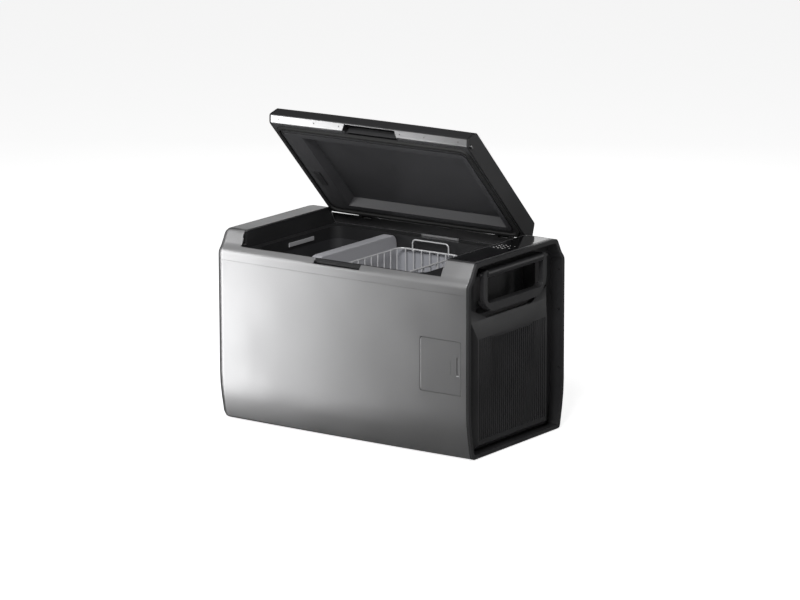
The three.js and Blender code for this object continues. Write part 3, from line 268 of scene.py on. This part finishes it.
# Painted shade: the whole tub liner is coloured near-black for the dark look of the left zone, which comes
# from shade inside the tub; the light grey of the right zone comes from the cold plate.
TUB_PAINTED_SHADE = Finish("tub_liner_painted_shade", (0.022, 0.022, 0.024), Grain.SATIN, 0.5, 0.0, 0.0016, 0.00001, 0.25)
COLD = Finish("cold_plate_grey", (0.33, 0.335, 0.36), Grain.SATIN, 0.38, 0.15, 0.0012, 0.00001, 0.06)
DIVIDER = Finish(
    "divider_grey", (0.34, 0.34, 0.36), Grain.SATIN,
    0.42, 0.0, 0.0012, 0.00001, 0.05, edge=0.001,
)
GLASS = Finish("panel_gloss", (0.004, 0.004, 0.0045), Grain.SATIN, 0.1, 0.0, 0.004, 0.000002, 0.3, coat=0.6)
MARKS = Finish("panel_marks", (0.62, 0.64, 0.66), Grain.SATIN, 0.4, 0.0, 0.0006, 0.000004, 0.1, edge=0.0001)
RUBBER = Finish("black_rubber", (0.010, 0.010, 0.010), Grain.MOULDED, 0.72, 0.0, 0.0006, 0.00005, 0.4)
FOAM = Finish("insulating_foam", (0.62, 0.53, 0.30), Grain.FOAM, 0.9, 0.0, 0.0011, 0.0003, 0.12)
STEEL = Finish("plated_steel", (0.50, 0.50, 0.51), Grain.BRUSHED, 0.3, 1.0, 0.0006, 0.00001, 0.1)
SCREW = Finish("black_screw", (0.02, 0.02, 0.021), Grain.SATIN, 0.35, 0.6, 0.0006, 0.00001, 0.2, edge=0.0002)
HOLE = Finish("screw_socket", (0.004, 0.004, 0.004), Grain.SATIN, 0.6, 0.0, 0.0006, 0.00001, 0.2, edge=0.0002)
WIRE = Finish("coated_wire", (0.60, 0.60, 0.61), Grain.SATIN, 0.28, 0.35, 0.0008, 0.000006, 0.08, edge=0.0003)
COPPER = Finish("copper_tube", (0.62, 0.30, 0.16), Grain.BRUSHED, 0.32, 1.0, 0.0008, 0.00001, 0.15)
FIN = Finish("fin_aluminium", (0.55, 0.56, 0.58), Grain.BRUSHED, 0.38, 0.9, 0.0008, 0.00001, 0.12)
BOARD = Finish(
    "circuit_board", (0.012, 0.09, 0.035), Grain.TRACES,
    0.45, 0.0, 0.0008, 0.00001, second=(0.02, 0.17, 0.06),
)
ENAMEL = Finish(
    "compressor_enamel", (0.010, 0.010, 0.011), Grain.METALLIC,
    0.25, 0.0, 0.002, 0.00002, 0.4, coat=0.5,
)
LAMP = Finish("frosted_lens", (0.30, 0.30, 0.31), Grain.SATIN, 0.45, 0.0, 0.0008, 0.00001, 0.06, edge=0.0004)


class Finishes:
    """Builds each finish once and hands out its material."""

    _made: dict[str, bpy.types.Material] = {}
    slots: dict[str, str] = {}

    @classmethod
    def of(cls, finish: Finish) -> bpy.types.Material:
        """Returns the finish's material, building it at its first use."""
        if finish.name not in cls._made:
            cls._made[finish.name] = finish.build()
        return cls._made[finish.name]


# ---------------------------------------------------------------- mesh work


def new_object(name: str, mesh: bpy.types.Mesh) -> bpy.types.Object:
    """Links a new object that shows a mesh.

    Args:
        name: the object's name.
        mesh: its mesh, placed in the cooler's own frame.

    Returns:
        The object.
    """
    piece = bpy.data.objects.new(name, mesh)
    bpy.context.scene.collection.objects.link(piece)
    return piece


def polished(piece: bpy.types.Object, angle: float) -> None:
    """Shades a piece smooth below an angle and keeps its flats flat.

    Args:
        piece: the object.
        angle: edges sharper than this, in degrees, stay sharp.
    """
    piece.data.polygons.foreach_set("use_smooth", [True] * len(piece.data.polygons))
    piece.data.set_sharp_from_angle(angle=math.radians(angle))
    weighted = piece.modifiers.new("flats", "WEIGHTED_NORMAL")
    weighted.keep_sharp = True
    weighted.weight = 60


@dataclass
class Dressing:
    """How one CAD node is finished: its material, edge rounding and shading."""

    node: str
    finish: Finish
    round_by: float = 0.0
    segments: int = 2
    angle: float = 33.0


def finished_node(dressing: Dressing, body: Body) -> bpy.types.Object:
    """Makes the finished surface that stands for one CAD node.

    Args:
        dressing: the node and how it is finished.
        body: the body it rides on.

    Returns:
        The finished piece.
    """
    source = bpy.data.objects[dressing.node].data
    mesh = bpy.data.meshes.new(f"{dressing.node}_surface")
    mesh.from_pydata(
        [tuple(v.co) for v in source.vertices], [], [tuple(p.vertices) for p in source.polygons]
    )
    shape = bmesh.new()
    shape.from_mesh(mesh)
    bmesh.ops.remove_doubles(shape, verts=shape.verts, dist=2e-6)
    bmesh.ops.dissolve_limit(
        shape, angle_limit=math.radians(0.1), verts=shape.verts, edges=shape.edges
    )
    if dressing.round_by:
        sharp = [
            e for e in shape.edges
            if e.is_manifold and e.calc_face_angle(0.0) > math.radians(35.0)
        ]
        bmesh.ops.bevel(
            shape, geom=sharp, offset=dressing.round_by, segments=dressing.segments,
            profile=0.5, affect="EDGES", clamp_overlap=True,
        )
    shape.to_mesh(mesh)
    shape.free()
    piece = new_object(f"{dressing.node}_surface", mesh)
    mesh.materials.append(Finishes.of(dressing.finish))
    polished(piece, dressing.angle)
    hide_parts(dressing.node)
    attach(piece, body.value)
    LOG.info("%s: %d faces", piece.name, len(mesh.polygons))
    return piece


def dress(dressings: list[Dressing], body: Body) -> None:
    """Finishes several CAD nodes of one body."""
    for dressing in dressings:
        finished_node(dressing, body)


def polyline(name: str, points: list[Vector], closed: bool = False) -> bpy.types.Object:
    """Makes an edge mesh along points, the guide of a wire or tube.

    Args:
        name: the object's name.
        points: the corners in order.
        closed: whether the last point joins the first.

    Returns:
        The guide object.
    """
    edges = [(i, i + 1) for i in range(len(points) - 1)]
    if closed:
        edges.append((len(points) - 1, 0))
    mesh = bpy.data.meshes.new(name)
    mesh.from_pydata([tuple(p) for p in points], edges, [])
    return new_object(name, mesh)


def scatter(name: str, points: list[Vector]) -> bpy.types.Object:
    """Makes a mesh of loose points, the guide of a group of screws."""
    mesh = bpy.data.meshes.new(name)
    mesh.from_pydata([tuple(p) for p in points], [], [])
    return new_object(name, mesh)


# ---------------------------------------------------------------- geometry node trees


class Tree:
    """A geometry node tree with named inputs."""

    def __init__(self, name: str, inputs: dict[str, tuple[str, object]]) -> None:
        """Starts the tree.

        Args:
            name: the tree's name.
            inputs: for each input its socket kind and its first value.
        """
        self.group = bpy.data.node_groups.new(name, "GeometryNodeTree")
        self.sockets: dict[str, str] = {}
        self.group.interface.new_socket("Geometry", in_out="INPUT", socket_type="NodeSocketGeometry")
        self.group.interface.new_socket("Geometry", in_out="OUTPUT", socket_type="NodeSocketGeometry")
        for label, (kind, value) in inputs.items():
            socket = self.group.interface.new_socket(label, in_out="INPUT", socket_type=f"NodeSocket{kind}")
            if value is not None:
                socket.default_value = value
            self.sockets[label] = socket.identifier
        self.entry = self.group.nodes.new("NodeGroupInput")
        self.exit = self.group.nodes.new("NodeGroupOutput")

    def add(
        self, kind: str, links: dict[str, bpy.types.NodeSocket] | None = None, **settings: object,
    ) -> bpy.types.Node:
        """Adds a geometry node.

        Args:
            kind: the node type without its common prefix.
            links: what feeds each input.
            settings: the node's own settings, or plain values for inputs.

        Returns:
            The new node.
        """
        prefix = "" if kind.startswith(("ShaderNode", "FunctionNode")) else "GeometryNode"
        node = self.group.nodes.new(prefix + kind)
        for key, value in settings.items():
            if hasattr(node, key):
                setattr(node, key, value)
            else:
                node.inputs[key.replace("_", " ").title()].default_value = value
        for label, out in (links or {}).items():
            self.group.links.new(out, node.inputs[label])
        return node

    def given(self, label: str) -> bpy.types.NodeSocket:
        """Returns the named input as an output of the entry node."""
        return self.entry.outputs[label]

    def close(self, result: bpy.types.NodeSocket) -> None:
        """Realizes the instances, smooths, sets the material and ends the tree."""
        real = self.add("RealizeInstances", {"Geometry": result})
        smooth = self.add("SetShadeSmooth", {"Geometry": real.outputs[0]})
        material = self.add(
            "SetMaterial", {"Geometry": smooth.outputs[0], "Material": self.given("Material")}
        )
        self.group.links.new(material.outputs[0], self.exit.inputs[0])

    def run(
        self, guide: bpy.types.Object, name: str, values: dict[str, object], finish: Finish,
    ) -> bpy.types.Object:
        """Runs the tree on a guide and keeps the result as a plain mesh.

        Args:
            guide: the object the tree works on; it is used up.
            name: the name of the result.
            values: the tree's input values.
            finish: the finish of the result.

        Returns:
            The finished piece.
        """
        modifier = guide.modifiers.new("tree", "NODES")
        modifier.node_group = self.group
        for label, value in {**values, "Material": Finishes.of(finish)}.items():
            modifier[self.sockets[label]] = value
        bpy.context.view_layer.update()
        graph = bpy.context.evaluated_depsgraph_get()
        mesh = bpy.data.meshes.new_from_object(guide.evaluated_get(graph))
        bpy.data.objects.remove(guide)
        mesh.name = name
        mesh.set_sharp_from_angle(angle=math.radians(40.0))
        piece = new_object(name, mesh)
        LOG.info("%s: %d faces", name, len(mesh.polygons))
        return piece


def wire_tree() -> Tree:
    """Builds the tree that bends a round wire along a guide and repeats it.

    Returns:
        The tree.
    """
    tree = Tree("bent_wire", {
        "Wire Radius": ("Float", 0.002), "Corner Radius": ("Float", 0.01), "Copies": ("Int", 1),
        "Step": ("Vector", (0.0, 0.0, 0.0)), "Material": ("Material", None),
    })
    curve = tree.add("MeshToCurve", {"Mesh": tree.given("Geometry")})
    corners = tree.add("FilletCurve", {"Curve": curve.outputs[0], "Radius": tree.given("Corner Radius")})
    if "Mode" in corners.inputs:
        corners.inputs["Mode"].default_value = "Poly"
    else:
        corners.mode = "POLY"
    corners.inputs["Count"].default_value = 6
    section = tree.add("CurvePrimitiveCircle", {"Radius": tree.given("Wire Radius")}, Resolution=10)
    wire = tree.add("CurveToMesh", {"Curve": corners.outputs[0], "Profile Curve": section.outputs[0]})
    wire.inputs["Fill Caps"].default_value = True
    row = tree.add("MeshLine", {"Count": tree.given("Copies"), "Offset": tree.given("Step")})
    copies = tree.add("InstanceOnPoints", {"Points": row.outputs[0], "Instance": wire.outputs[0]})
    tree.close(copies.outputs[0])
    return tree


def screw_tree() -> Tree:
    """Builds the tree that sets a cross-head screw on every point of a guide.

    Returns:
        The tree.
    """
    tree = Tree("cross_head_screws", {
        "Head Radius": ("Float", 0.003), "Head Height": ("Float", 0.001),
        "Turn": ("Rotation", None), "Material": ("Material", None),
    })
    head = tree.add("MeshCone", {
        "Radius Bottom": tree.given("Head Radius"), "Depth": tree.given("Head Height"),
    }, Vertices=18)
    narrow = tree.add("ShaderNodeMath", {}, operation="MULTIPLY")
    narrow.inputs[1].default_value = 0.74
    tree.group.links.new(tree.given("Head Radius"), narrow.inputs[0])
    tree.group.links.new(narrow.outputs[0], head.inputs["Radius Top"])
    slots = tree.add("JoinGeometry")
    for wide, deep in ((1.15, 0.24), (0.24, 1.15)):
        size = tree.add("ShaderNodeCombineXYZ")
        for axis, share in enumerate((wide, deep)):
            scaled = tree.add("ShaderNodeMath", {}, operation="MULTIPLY")
            scaled.inputs[1].default_value = share
            tree.group.links.new(tree.given("Head Radius"), scaled.inputs[0])
            tree.group.links.new(scaled.outputs[0], size.inputs[axis])
        tree.group.links.new(tree.given("Head Height"), size.inputs[2])
        cut = tree.add("MeshCube", {"Size": size.outputs[0]})
        lift = tree.add("ShaderNodeCombineXYZ")
        tree.group.links.new(tree.given("Head Height"), lift.inputs[2])
        raised = tree.add("Transform", {"Geometry": cut.outputs[0], "Translation": lift.outputs[0]})
        tree.group.links.new(raised.outputs[0], slots.inputs[0])
    recessed = tree.add("MeshBoolean", operation="DIFFERENCE")
    tree.group.links.new(head.outputs[0], recessed.inputs[0])
    tree.group.links.new(slots.outputs[0], recessed.inputs[1])
    placed = tree.add("InstanceOnPoints", {
        "Points": tree.given("Geometry"), "Instance": recessed.outputs[0], "Rotation": tree.given("Turn"),
    })
    tree.close(placed.outputs[0])
    return tree


def slab_tree() -> Tree:
    """Builds the tree that repeats a thin slab in a row, for fins and ribs.

    Returns:
        The tree.
    """
    tree = Tree("slab_row", {
        "Slab": ("Vector", (0.01, 0.01, 0.001)), "Copies": ("Int", 1),
        "Step": ("Vector", (0.0, 0.0, 0.0)), "Material": ("Material", None),
    })
    slab = tree.add("MeshCube", {"Size": tree.given("Slab")})
    row = tree.add("MeshLine", {"Count": tree.given("Copies"), "Offset": tree.given("Step")})
    spots = tree.add("InstanceOnPoints", {"Points": row.outputs[0], "Instance": slab.outputs[0]})
    rows = tree.add("InstanceOnPoints", {
        "Points": tree.given("Geometry"), "Instance": spots.outputs[0],
    })
    tree.close(rows.outputs[0])
    return tree


@dataclass
class Trees:
    """The trees that every sub-assembly shares."""

    wire: Tree = field(default_factory=wire_tree)
    screw: Tree = field(default_factory=screw_tree)
    slab: Tree = field(default_factory=slab_tree)


@dataclass
class ScrewGroup:
    """Equal screws on one face."""

    name: str
    places: list[Vector]
    facing: Vector
    radius: float = 2.6 * MM
    height: float = 0.9 * MM
    finish: Finish = SCREW

    def build(self, trees: Trees, body: Body, slot: str) -> bpy.types.Object:
        """Sets the screws.

        Args:
            trees: the shared trees.
            body: the body they ride on.
            slot: the record's material slot; not used.

        Returns:
            The screws as one piece.
        """
        turn = self.facing.to_track_quat("Z", "Y").to_euler()
        values = {"Head Radius": self.radius, "Head Height": self.height, "Turn": tuple(turn)}
        piece = trees.screw.run(scatter(self.name, self.places), self.name, values, self.finish)
        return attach(piece, body.value)


# ---------------------------------------------------------------- sub-assemblies


@dataclass
class LidPlace:
    """Turns points of the closed lid to where the open lid rests."""

    axis_y: float
    axis_z: float
    angle: float

    def matrix(self) -> Matrix:
        """Returns the turn from the closed place to the rest place."""
        shift = Matrix.Translation((0.0, self.axis_y, self.axis_z))
        turn = Matrix.Rotation(-math.radians(self.angle), 4, "X")
        return shift @ turn @ shift.inverted()

    def point(self, x: float, y: float, z: float) -> Vector:
        """Returns one turned point, given in millimetres in the closed place."""
        return self.matrix() @ Vector((x * MM, y * MM, z * MM))

    def direction(self, x: float, y: float, z: float) -> Vector:
        """Returns one turned direction."""
        return (self.matrix().to_3x3() @ Vector((x, y, z))).normalized()


@dataclass
class Cabinet:
    """The shell, the top frame, the rim and the base."""

    screw_x: float = 150.0
    screw_y: float = 158.0
    pan_z: float = 4.0

    def build(self, trees: Trees) -> None:
        """Builds the outside of the cabinet."""
        dress([
            Dressing("outer_shell", SILVER), Dressing("top_frame", SILVER),
            # The rear grip is a bright brushed insert set where the rear rail shows a highlight; its light
            # colour is a painted highlight.
            Dressing("rim_collar", BLACK), Dressing("rear_grip", BRUSHED_WITH_PAINTED_HIGHLIGHT, 0.5 * MM),
            Dressing("striker_left", STEEL, 0.2 * MM), Dressing("striker_right", STEEL, 0.2 * MM),
            Dressing("base_pan", BLACK), Dressing("insulation_block", FOAM),
            Dressing("hinge_rail", BLACK, 0.5 * MM),
            Dressing("hinge_pin_left", STEEL, 0.4 * MM), Dressing("hinge_pin_right", STEEL, 0.4 * MM),
        ], Body.CABINET)
        for corner in ("front_left", "front_right", "rear_left", "rear_right"):
            dress([Dressing(f"foot_{corner}", RUBBER, 0.5 * MM)], Body.CABINET)
        spots = [
            Vector((x * self.screw_x * MM, y * self.screw_y * MM, self.pan_z * MM))
            for x in (-2, -1, 0, 1, 2) for y in (-1, 1)
        ]
        ScrewGroup("base_pan_screws", spots, Vector((0, 0, -1)), 3.2 * MM, 1.2 * MM).build(
            trees, Body.CABINET, "steel")


@dataclass
class Tub:
    """The two cold zones with their lining, divider and lamp."""

    def build(self) -> None:
        """Builds the inside of the tub."""
        dress([
            # The tub liner carries the near-black painted shade.
            Dressing("tub_liner", TUB_PAINTED_SHADE), Dressing("cold_plate", COLD),
            Dressing("zone_divider", DIVIDER, 3.0 * MM, 4), Dressing("lamp_lens", LAMP, 0.6 * MM),
        ], Body.CABINET)


@dataclass
class Basket:
    """The wire basket that hangs in the right zone."""

    inset: float = 2.4
    wire: float = 1.5
    rim_wire: float = 2.1
    corner: float = 16.0
    across: int = 7
    along: int = 11

    def build(self, trees: Trees) -> None:
        """Bends the wires of the basket and joins them to one piece.

        Args:
            trees: the shared trees.
        """
        low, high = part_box("wire_basket")
        edge = self.inset * MM
        x0, x1 = low.x + edge, high.x - edge
        y0, y1 = low.y + edge, high.y - edge
        z0, rim = low.z + edge, 0.376
        mid = (z0 + rim) / 2
        parts = []

        def wire(name: str, points: list[tuple], radius: float, copies: int = 1,
                 step: tuple = (0.0, 0.0, 0.0), closed: bool = False, corner: float = self.corner) -> None:
            """Adds one bent wire and its copies."""
            guide = polyline(name, [Vector(p) for p in points], closed)
            parts.append(trees.wire.run(guide, name, {
                "Wire Radius": radius * MM, "Corner Radius": corner * MM, "Copies": copies, "Step": step,
            }, WIRE))

        levels = (
            ("rim", rim, self.rim_wire), ("middle", mid, self.wire), ("foot", z0 + 0.004, self.wire),
        )
        for name, z, radius in levels:
            ring = [(x0, y0, z), (x1, y0, z), (x1, y1, z), (x0, y1, z)]
            wire(f"basket_{name}_ring", ring, radius, closed=True)
        inner = self.wire * 1.2 * MM
        gap_x = (x1 - x0 - 2 * self.corner * MM) / (self.across - 1)
        start = x0 + self.corner * MM
        wire("basket_cross_wires", [
            (start, y0 + inner, rim), (start, y0 + inner, z0),
            (start, y1 - inner, z0), (start, y1 - inner, rim),
        ], self.wire, self.across, (gap_x, 0.0, 0.0), corner=8.0)
        gap_y = (y1 - y0 - 2 * self.corner * MM) / (self.along - 1)
        start = y0 + self.corner * MM
        wire("basket_length_wires", [
            (x0 + inner, start, rim), (x0 + inner, start, z0 + inner),
            (x1 - inner, start, z0 + inner), (x1 - inner, start, rim),
        ], self.wire, self.along, (0.0, gap_y, 0.0), corner=8.0)
        wire("basket_handle", [
            (-0.034, y1 - inner, rim - 0.004), (-0.034, y1 - inner, 0.3995),
            (0.066, y1 - inner, 0.3995), (0.066, y1 - inner, rim - 0.004),
        ], self.wire * 1.15, corner=9.0)
        piece = joined("basket_wires", parts)
        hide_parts("wire_basket")
        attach(piece, Body.CABINET.value)


def joined(name: str, parts: list[bpy.types.Object]) -> bpy.types.Object:
    """Joins plain mesh objects that share one finish.

    Args:
        name: the name of the result.
        parts: the objects; they are used up.

    Returns:
        One object.
    """
    shape = bmesh.new()
    for part in parts:
        shape.from_mesh(part.data)
    mesh = bpy.data.meshes.new(name)
    shape.to_mesh(mesh)
    shape.free()
    mesh.materials.append(parts[0].data.materials[0])
    for part in parts:
        bpy.data.objects.remove(part)
    mesh.set_sharp_from_angle(angle=math.radians(40.0))
    LOG.info("%s: %d faces", name, len(mesh.polygons))
    return new_object(name, mesh)


@dataclass
class RightEnd:
    """The black machine end with its grille and drop handle."""

    wall_screws: tuple[float, ...] = (370.0, 278.0, 143.0, 57.0)
    screw_x: float = 341.0

    def build(self, trees: Trees) -> None:
        """Builds the right end."""
        dress([
            Dressing("right_end_frame", BLACK), Dressing("air_grille", BLACK),
            Dressing("right_handle_cup", BLACK), Dressing("right_handle_barrel", BLACK, 0.8 * MM),
        ], Body.CABINET)
        dress([Dressing("right_handle", GRIP, 2.2 * MM, 4)], Body.HANDLE_RIGHT)
        low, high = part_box("right_end_frame")
        for side, sign in (("front", 1.0), ("rear", -1.0)):
            edge = low.y if sign > 0 else high.y
            wall = edge + sign * 9.3 * MM
            spots = [Vector((self.screw_x * MM, wall, z * MM)) for z in self.wall_screws]
            ScrewGroup(f"end_screws_{side}", spots, Vector((0, sign, 0)), 2.4 * MM, 1.4 * MM).build(
                trees, Body.CABINET, "steel")


@dataclass
class LeftEnd:
    """The pocket and small drop handle of the left end."""

    def build(self) -> None:
        """Builds the left end."""
        dress([Dressing("left_handle_pocket", BLACK)], Body.CABINET)
        dress([Dressing("left_handle", GRIP, 2.0 * MM, 4)], Body.HANDLE_LEFT)


@dataclass
class Console:
    """The gloss panel on top of the machine room, with its plain marks."""

    first_x: float = 0.284
    row_y: tuple[float, ...] = (0.004, 0.014, 0.026, 0.036)
    mark: float = 0.0042
    thick: float = 0.00012

    def build(self, trees: Trees) -> None:
        """Builds the panel and its marks.

        Args:
            trees: the shared trees.
        """
        dress([
            Dressing("control_glass", GLASS, 0.4 * MM), Dressing("display_board", BOARD),
        ], Body.CABINET)
        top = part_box("control_glass")[1].z + self.thick / 2
        parts = []
        for i, y in enumerate(self.row_y):
            spots = scatter(f"mark_{i}", [Vector((self.first_x, y, top))])
            values = {
                "Slab": (self.mark * (0.55 if i % 2 else 1.0), self.mark * 0.5, self.thick),
                "Copies": 3 + i % 2, "Step": (0.0115, 0.0, 0.0),
            }
            parts.append(trees.slab.run(spots, f"mark_row_{i}", values, MARKS))
        piece = joined("panel_marks", parts)
        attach(piece, Body.CABINET.value)


@dataclass
class Hatch:
    """The front hatch and what lies behind it."""

    def build(self) -> None:
        """Builds the hatch, bay, battery and sockets."""
        dress([Dressing("hatch_door", SILVER)], Body.HATCH)
        dress([
            Dressing("battery_bay", BLACK), Dressing("battery_pack", GRIP, 1.5 * MM, 3),
            Dressing("socket_plate", BLACK, 0.4 * MM), Dressing("dc_inlet_core", STEEL, 0.3 * MM),
        ], Body.CABINET)


@dataclass
class MachineRoom:
    """The compressor, the fan and the condenser behind the grille."""

    fin_gap: float = 2.6
    fin_thick: float = 0.35
    tube: float = 4.0

    def build(self, trees: Trees) -> None:
        """Builds the machine room.

        Args:
            trees: the shared trees.
        """
        dress([
            Dressing("compressor", ENAMEL, angle=50.0), Dressing("compressor_mount", STEEL, 0.5 * MM),
            Dressing("fan_frame", BLACK), Dressing("control_board", BOARD),
            Dressing("suction_line", COPPER, angle=60.0),
        ], Body.CABINET)
        dress([Dressing("fan_impeller", GRIP)], Body.FAN)
        low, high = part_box("condenser")
        count = int((high.z - low.z - 8 * MM) / (self.fin_gap * MM))
        centre = (low + high) / 2
        guide = scatter("fins", [Vector((centre.x, centre.y, low.z + 4 * MM))])
        fins = trees.slab.run(guide, "fins", {
            "Slab": (high.x - low.x, high.y - low.y, self.fin_thick * MM), "Copies": count,
            "Step": (0.0, 0.0, self.fin_gap * MM),
        }, FIN)
        path = [
            Vector((centre.x, centre.y + side * 0.04, z)) for side, z in
            ((-1, low.z + 3 * MM), (-1, high.z - 3 * MM), (1, high.z - 3 * MM), (1, low.z + 3 * MM))
        ]
        tube = trees.wire.run(polyline("tube", path), "tube", {
            "Wire Radius": self.tube * 0.6 * MM, "Corner Radius": 8 * MM,
            "Copies": 1, "Step": (0.0, 0.0, 0.0),
        }, FIN)
        piece = joined("condenser_fins", [fins, tube])
        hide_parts("condenser")
        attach(piece, Body.CABINET.value)


@dataclass
class Lid:
    """The lid with its skin, liner, latch and hinges."""

    place: LidPlace
    left_screws: tuple[float, ...] = (-253.0, -153.0, -84.0)
    right_screws: tuple[float, ...] = (83.0, 149.0, 240.0)

    def build(self, trees: Trees) -> None:
        """Builds the lid and what rides on it.

        Args:
            trees: the shared trees.
        """
        dress([
            # The latch strips take the lighter brushed finish, whose extra brightness is a painted highlight.
            Dressing("lid_skin", GRAPHITE), Dressing("latch_strip_left", BRUSHED_WITH_PAINTED_HIGHLIGHT),
            Dressing("latch_strip_right", BRUSHED_WITH_PAINTED_HIGHLIGHT), Dressing("lid_end_cap_left", BLACK),
            Dressing("lid_end_cap_right", BLACK), Dressing("lid_liner", LINER),
            Dressing("lid_sensor", GRIP, 0.5 * MM), Dressing("lid_foam", FOAM),
            Dressing("lid_gasket", RUBBER, 2.0 * MM, 3), Dressing("latch_housing", BLACK),
            Dressing("hinge_ear_left", BLACK, 0.5 * MM), Dressing("hinge_ear_right", BLACK, 0.5 * MM),
        ], Body.LID)
        dress([Dressing("release_paddle", GRIP, 0.6 * MM)], Body.PADDLE)
        dress([Dressing("latch_bolt_left", STEEL, 0.8 * MM)], Body.BOLT_LEFT)
        dress([Dressing("latch_bolt_right", STEEL, 0.8 * MM)], Body.BOLT_RIGHT)
        facing = self.place.direction(0.0, -1.0, -1.0)
        for side, row in (("left", self.left_screws), ("right", self.right_screws)):
            spots = [self.place.point(x, -180.6 + 4.0 * (x / 350.0) ** 2, 415.8) for x in row]
            ScrewGroup(f"strip_screws_{side}", spots, facing, 2.3 * MM, 0.9 * MM, HOLE).build(
                trees, Body.LID, "steel")


@dataclass(frozen=True)
class Lamp:
    """One soft rectangular light: where it hangs, the point it faces, its size and its watts."""

    name: str
    place: tuple[float, float, float]
    aim: tuple[float, float, float]
    size: tuple[float, float]
    power: float


LAMPS = (
    Lamp("key", (-1.45, -1.15, 0.22), (-0.3, 0.0, 0.2), (0.9, 1.9), 18.0),
    Lamp("sky", (-2.4, -0.9, 2.3), (0.0, 0.0, 0.4), (1.6, 1.6), 4.5),
    Lamp("top", (0.8, -1.85, 2.1), (-0.05, 0.0, 0.35), (1.2, 1.0), 76.0),
    Lamp("end", (2.3, 2.2, 0.9), (0.35, 0.0, 0.25), (0.6, 1.2), 9.0),
    Lamp("back", (-1.7, 2.7, 1.15), (0.0, 0.0, 0.44), (1.8, 0.6), 3.4),
)


@dataclass
class Studio:
    """The floor, the soft lights and the camera."""

    lens: float = 189.155
    eye: tuple[float, float, float] = (5.36606, -7.58079, 2.41002)
    azimuth: float = 35.1335
    elevation: float = 12.8668
    roll: float = -0.1212
    floor_glow: float = 0.85
    air: float = 0.05

    def camera(self) -> None:
        """Places the camera."""
        a, e = math.radians(self.azimuth), math.radians(self.elevation)
        back = Vector((math.sin(a) * math.cos(e), -math.cos(a) * math.cos(e), math.sin(e)))
        right = Vector((math.cos(a), math.sin(a), 0.0))
        up = back.cross(right)
        turn = Matrix((right, up, back)).transposed().to_4x4()
        data = bpy.data.cameras.new("view")
        data.lens = self.lens
        data.clip_end = 200.0
        camera = bpy.data.objects.new("view", data)
        bpy.context.scene.collection.objects.link(camera)
        camera.matrix_world = (
            Matrix.Translation(self.eye) @ turn @ Matrix.Rotation(math.radians(self.roll), 4, "Z")
        )
        bpy.context.scene.camera = camera

    def light(self, lamp: Lamp) -> None:
        """Adds a soft rectangular light.

        Args:
            lamp: its name, place, aim, size and power.
        """
        data = bpy.data.lights.new(lamp.name, "AREA")
        data.shape = "RECTANGLE"
        data.size, data.size_y = lamp.size
        data.energy = lamp.power
        hung = bpy.data.objects.new(lamp.name, data)
        hung.visible_camera = False
        bpy.context.scene.collection.objects.link(hung)
        away = Vector(lamp.place) - Vector(lamp.aim)
        turn = away.to_track_quat("Z", "Y").to_matrix().to_4x4()
        hung.matrix_world = Matrix.Translation(lamp.place) @ turn

    def floor(self) -> None:
        """Lays the plain pale floor, which glows softly so that it stays even."""
        half = 60.0
        mesh = bpy.data.meshes.new("floor")
        corners = [(-half, -half, 0), (half, -half, 0), (half, half, 0), (-half, half, 0)]
        mesh.from_pydata(corners, [], [(0, 1, 2, 3)])
        finish = Finish(
            "pale_floor", (0.8, 0.8, 0.8), Grain.SATIN, 0.8, 0.0, 0.01, 0.00001, 0.01, edge=0.0001,
        )
        material = Finishes.of(finish)
        shader = next(n for n in material.node_tree.nodes if n.type == "BSDF_PRINCIPLED")
        shader.inputs["Emission Color"].default_value = (1.0, 1.0, 1.0, 1.0)
        shader.inputs["Emission Strength"].default_value = self.floor_glow
        mesh.materials.append(material)
        floor = new_object("floor", mesh)
        floor.visible_glossy = False

    def build(self) -> None:
        """Sets up the whole studio."""
        self.camera()
        self.floor()
        bpy.context.scene.view_settings.view_transform = "Standard"
        world = bpy.data.worlds.new("studio")
        bpy.context.scene.world = world
        world.use_nodes = True
        background = world.node_tree.nodes["Background"]
        background.inputs["Color"].default_value = (1.0, 1.0, 1.0, 1.0)
        background.inputs["Strength"].default_value = self.air
        for lamp in LAMPS:
            self.light(lamp)


def main() -> None:
    """Builds the cooler and its studio in order."""
    logging.basicConfig(level=logging.INFO, format="%(name)s %(message)s")
    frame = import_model()
    Finishes.slots = {part["node"]: part["material_slot"] for part in frame["record"]["subparts"]}
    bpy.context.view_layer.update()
    Studio().build()
    trees = Trees()
    Cabinet().build(trees)
    Tub().build()
    Basket().build(trees)
    RightEnd().build(trees)
    LeftEnd().build()
    Console().build(trees)
    Hatch().build()
    MachineRoom().build(trees)
    Lid(LidPlace(0.1965, 0.4275, 46.0)).build(trees)


if __name__ == "__main__":
    main()
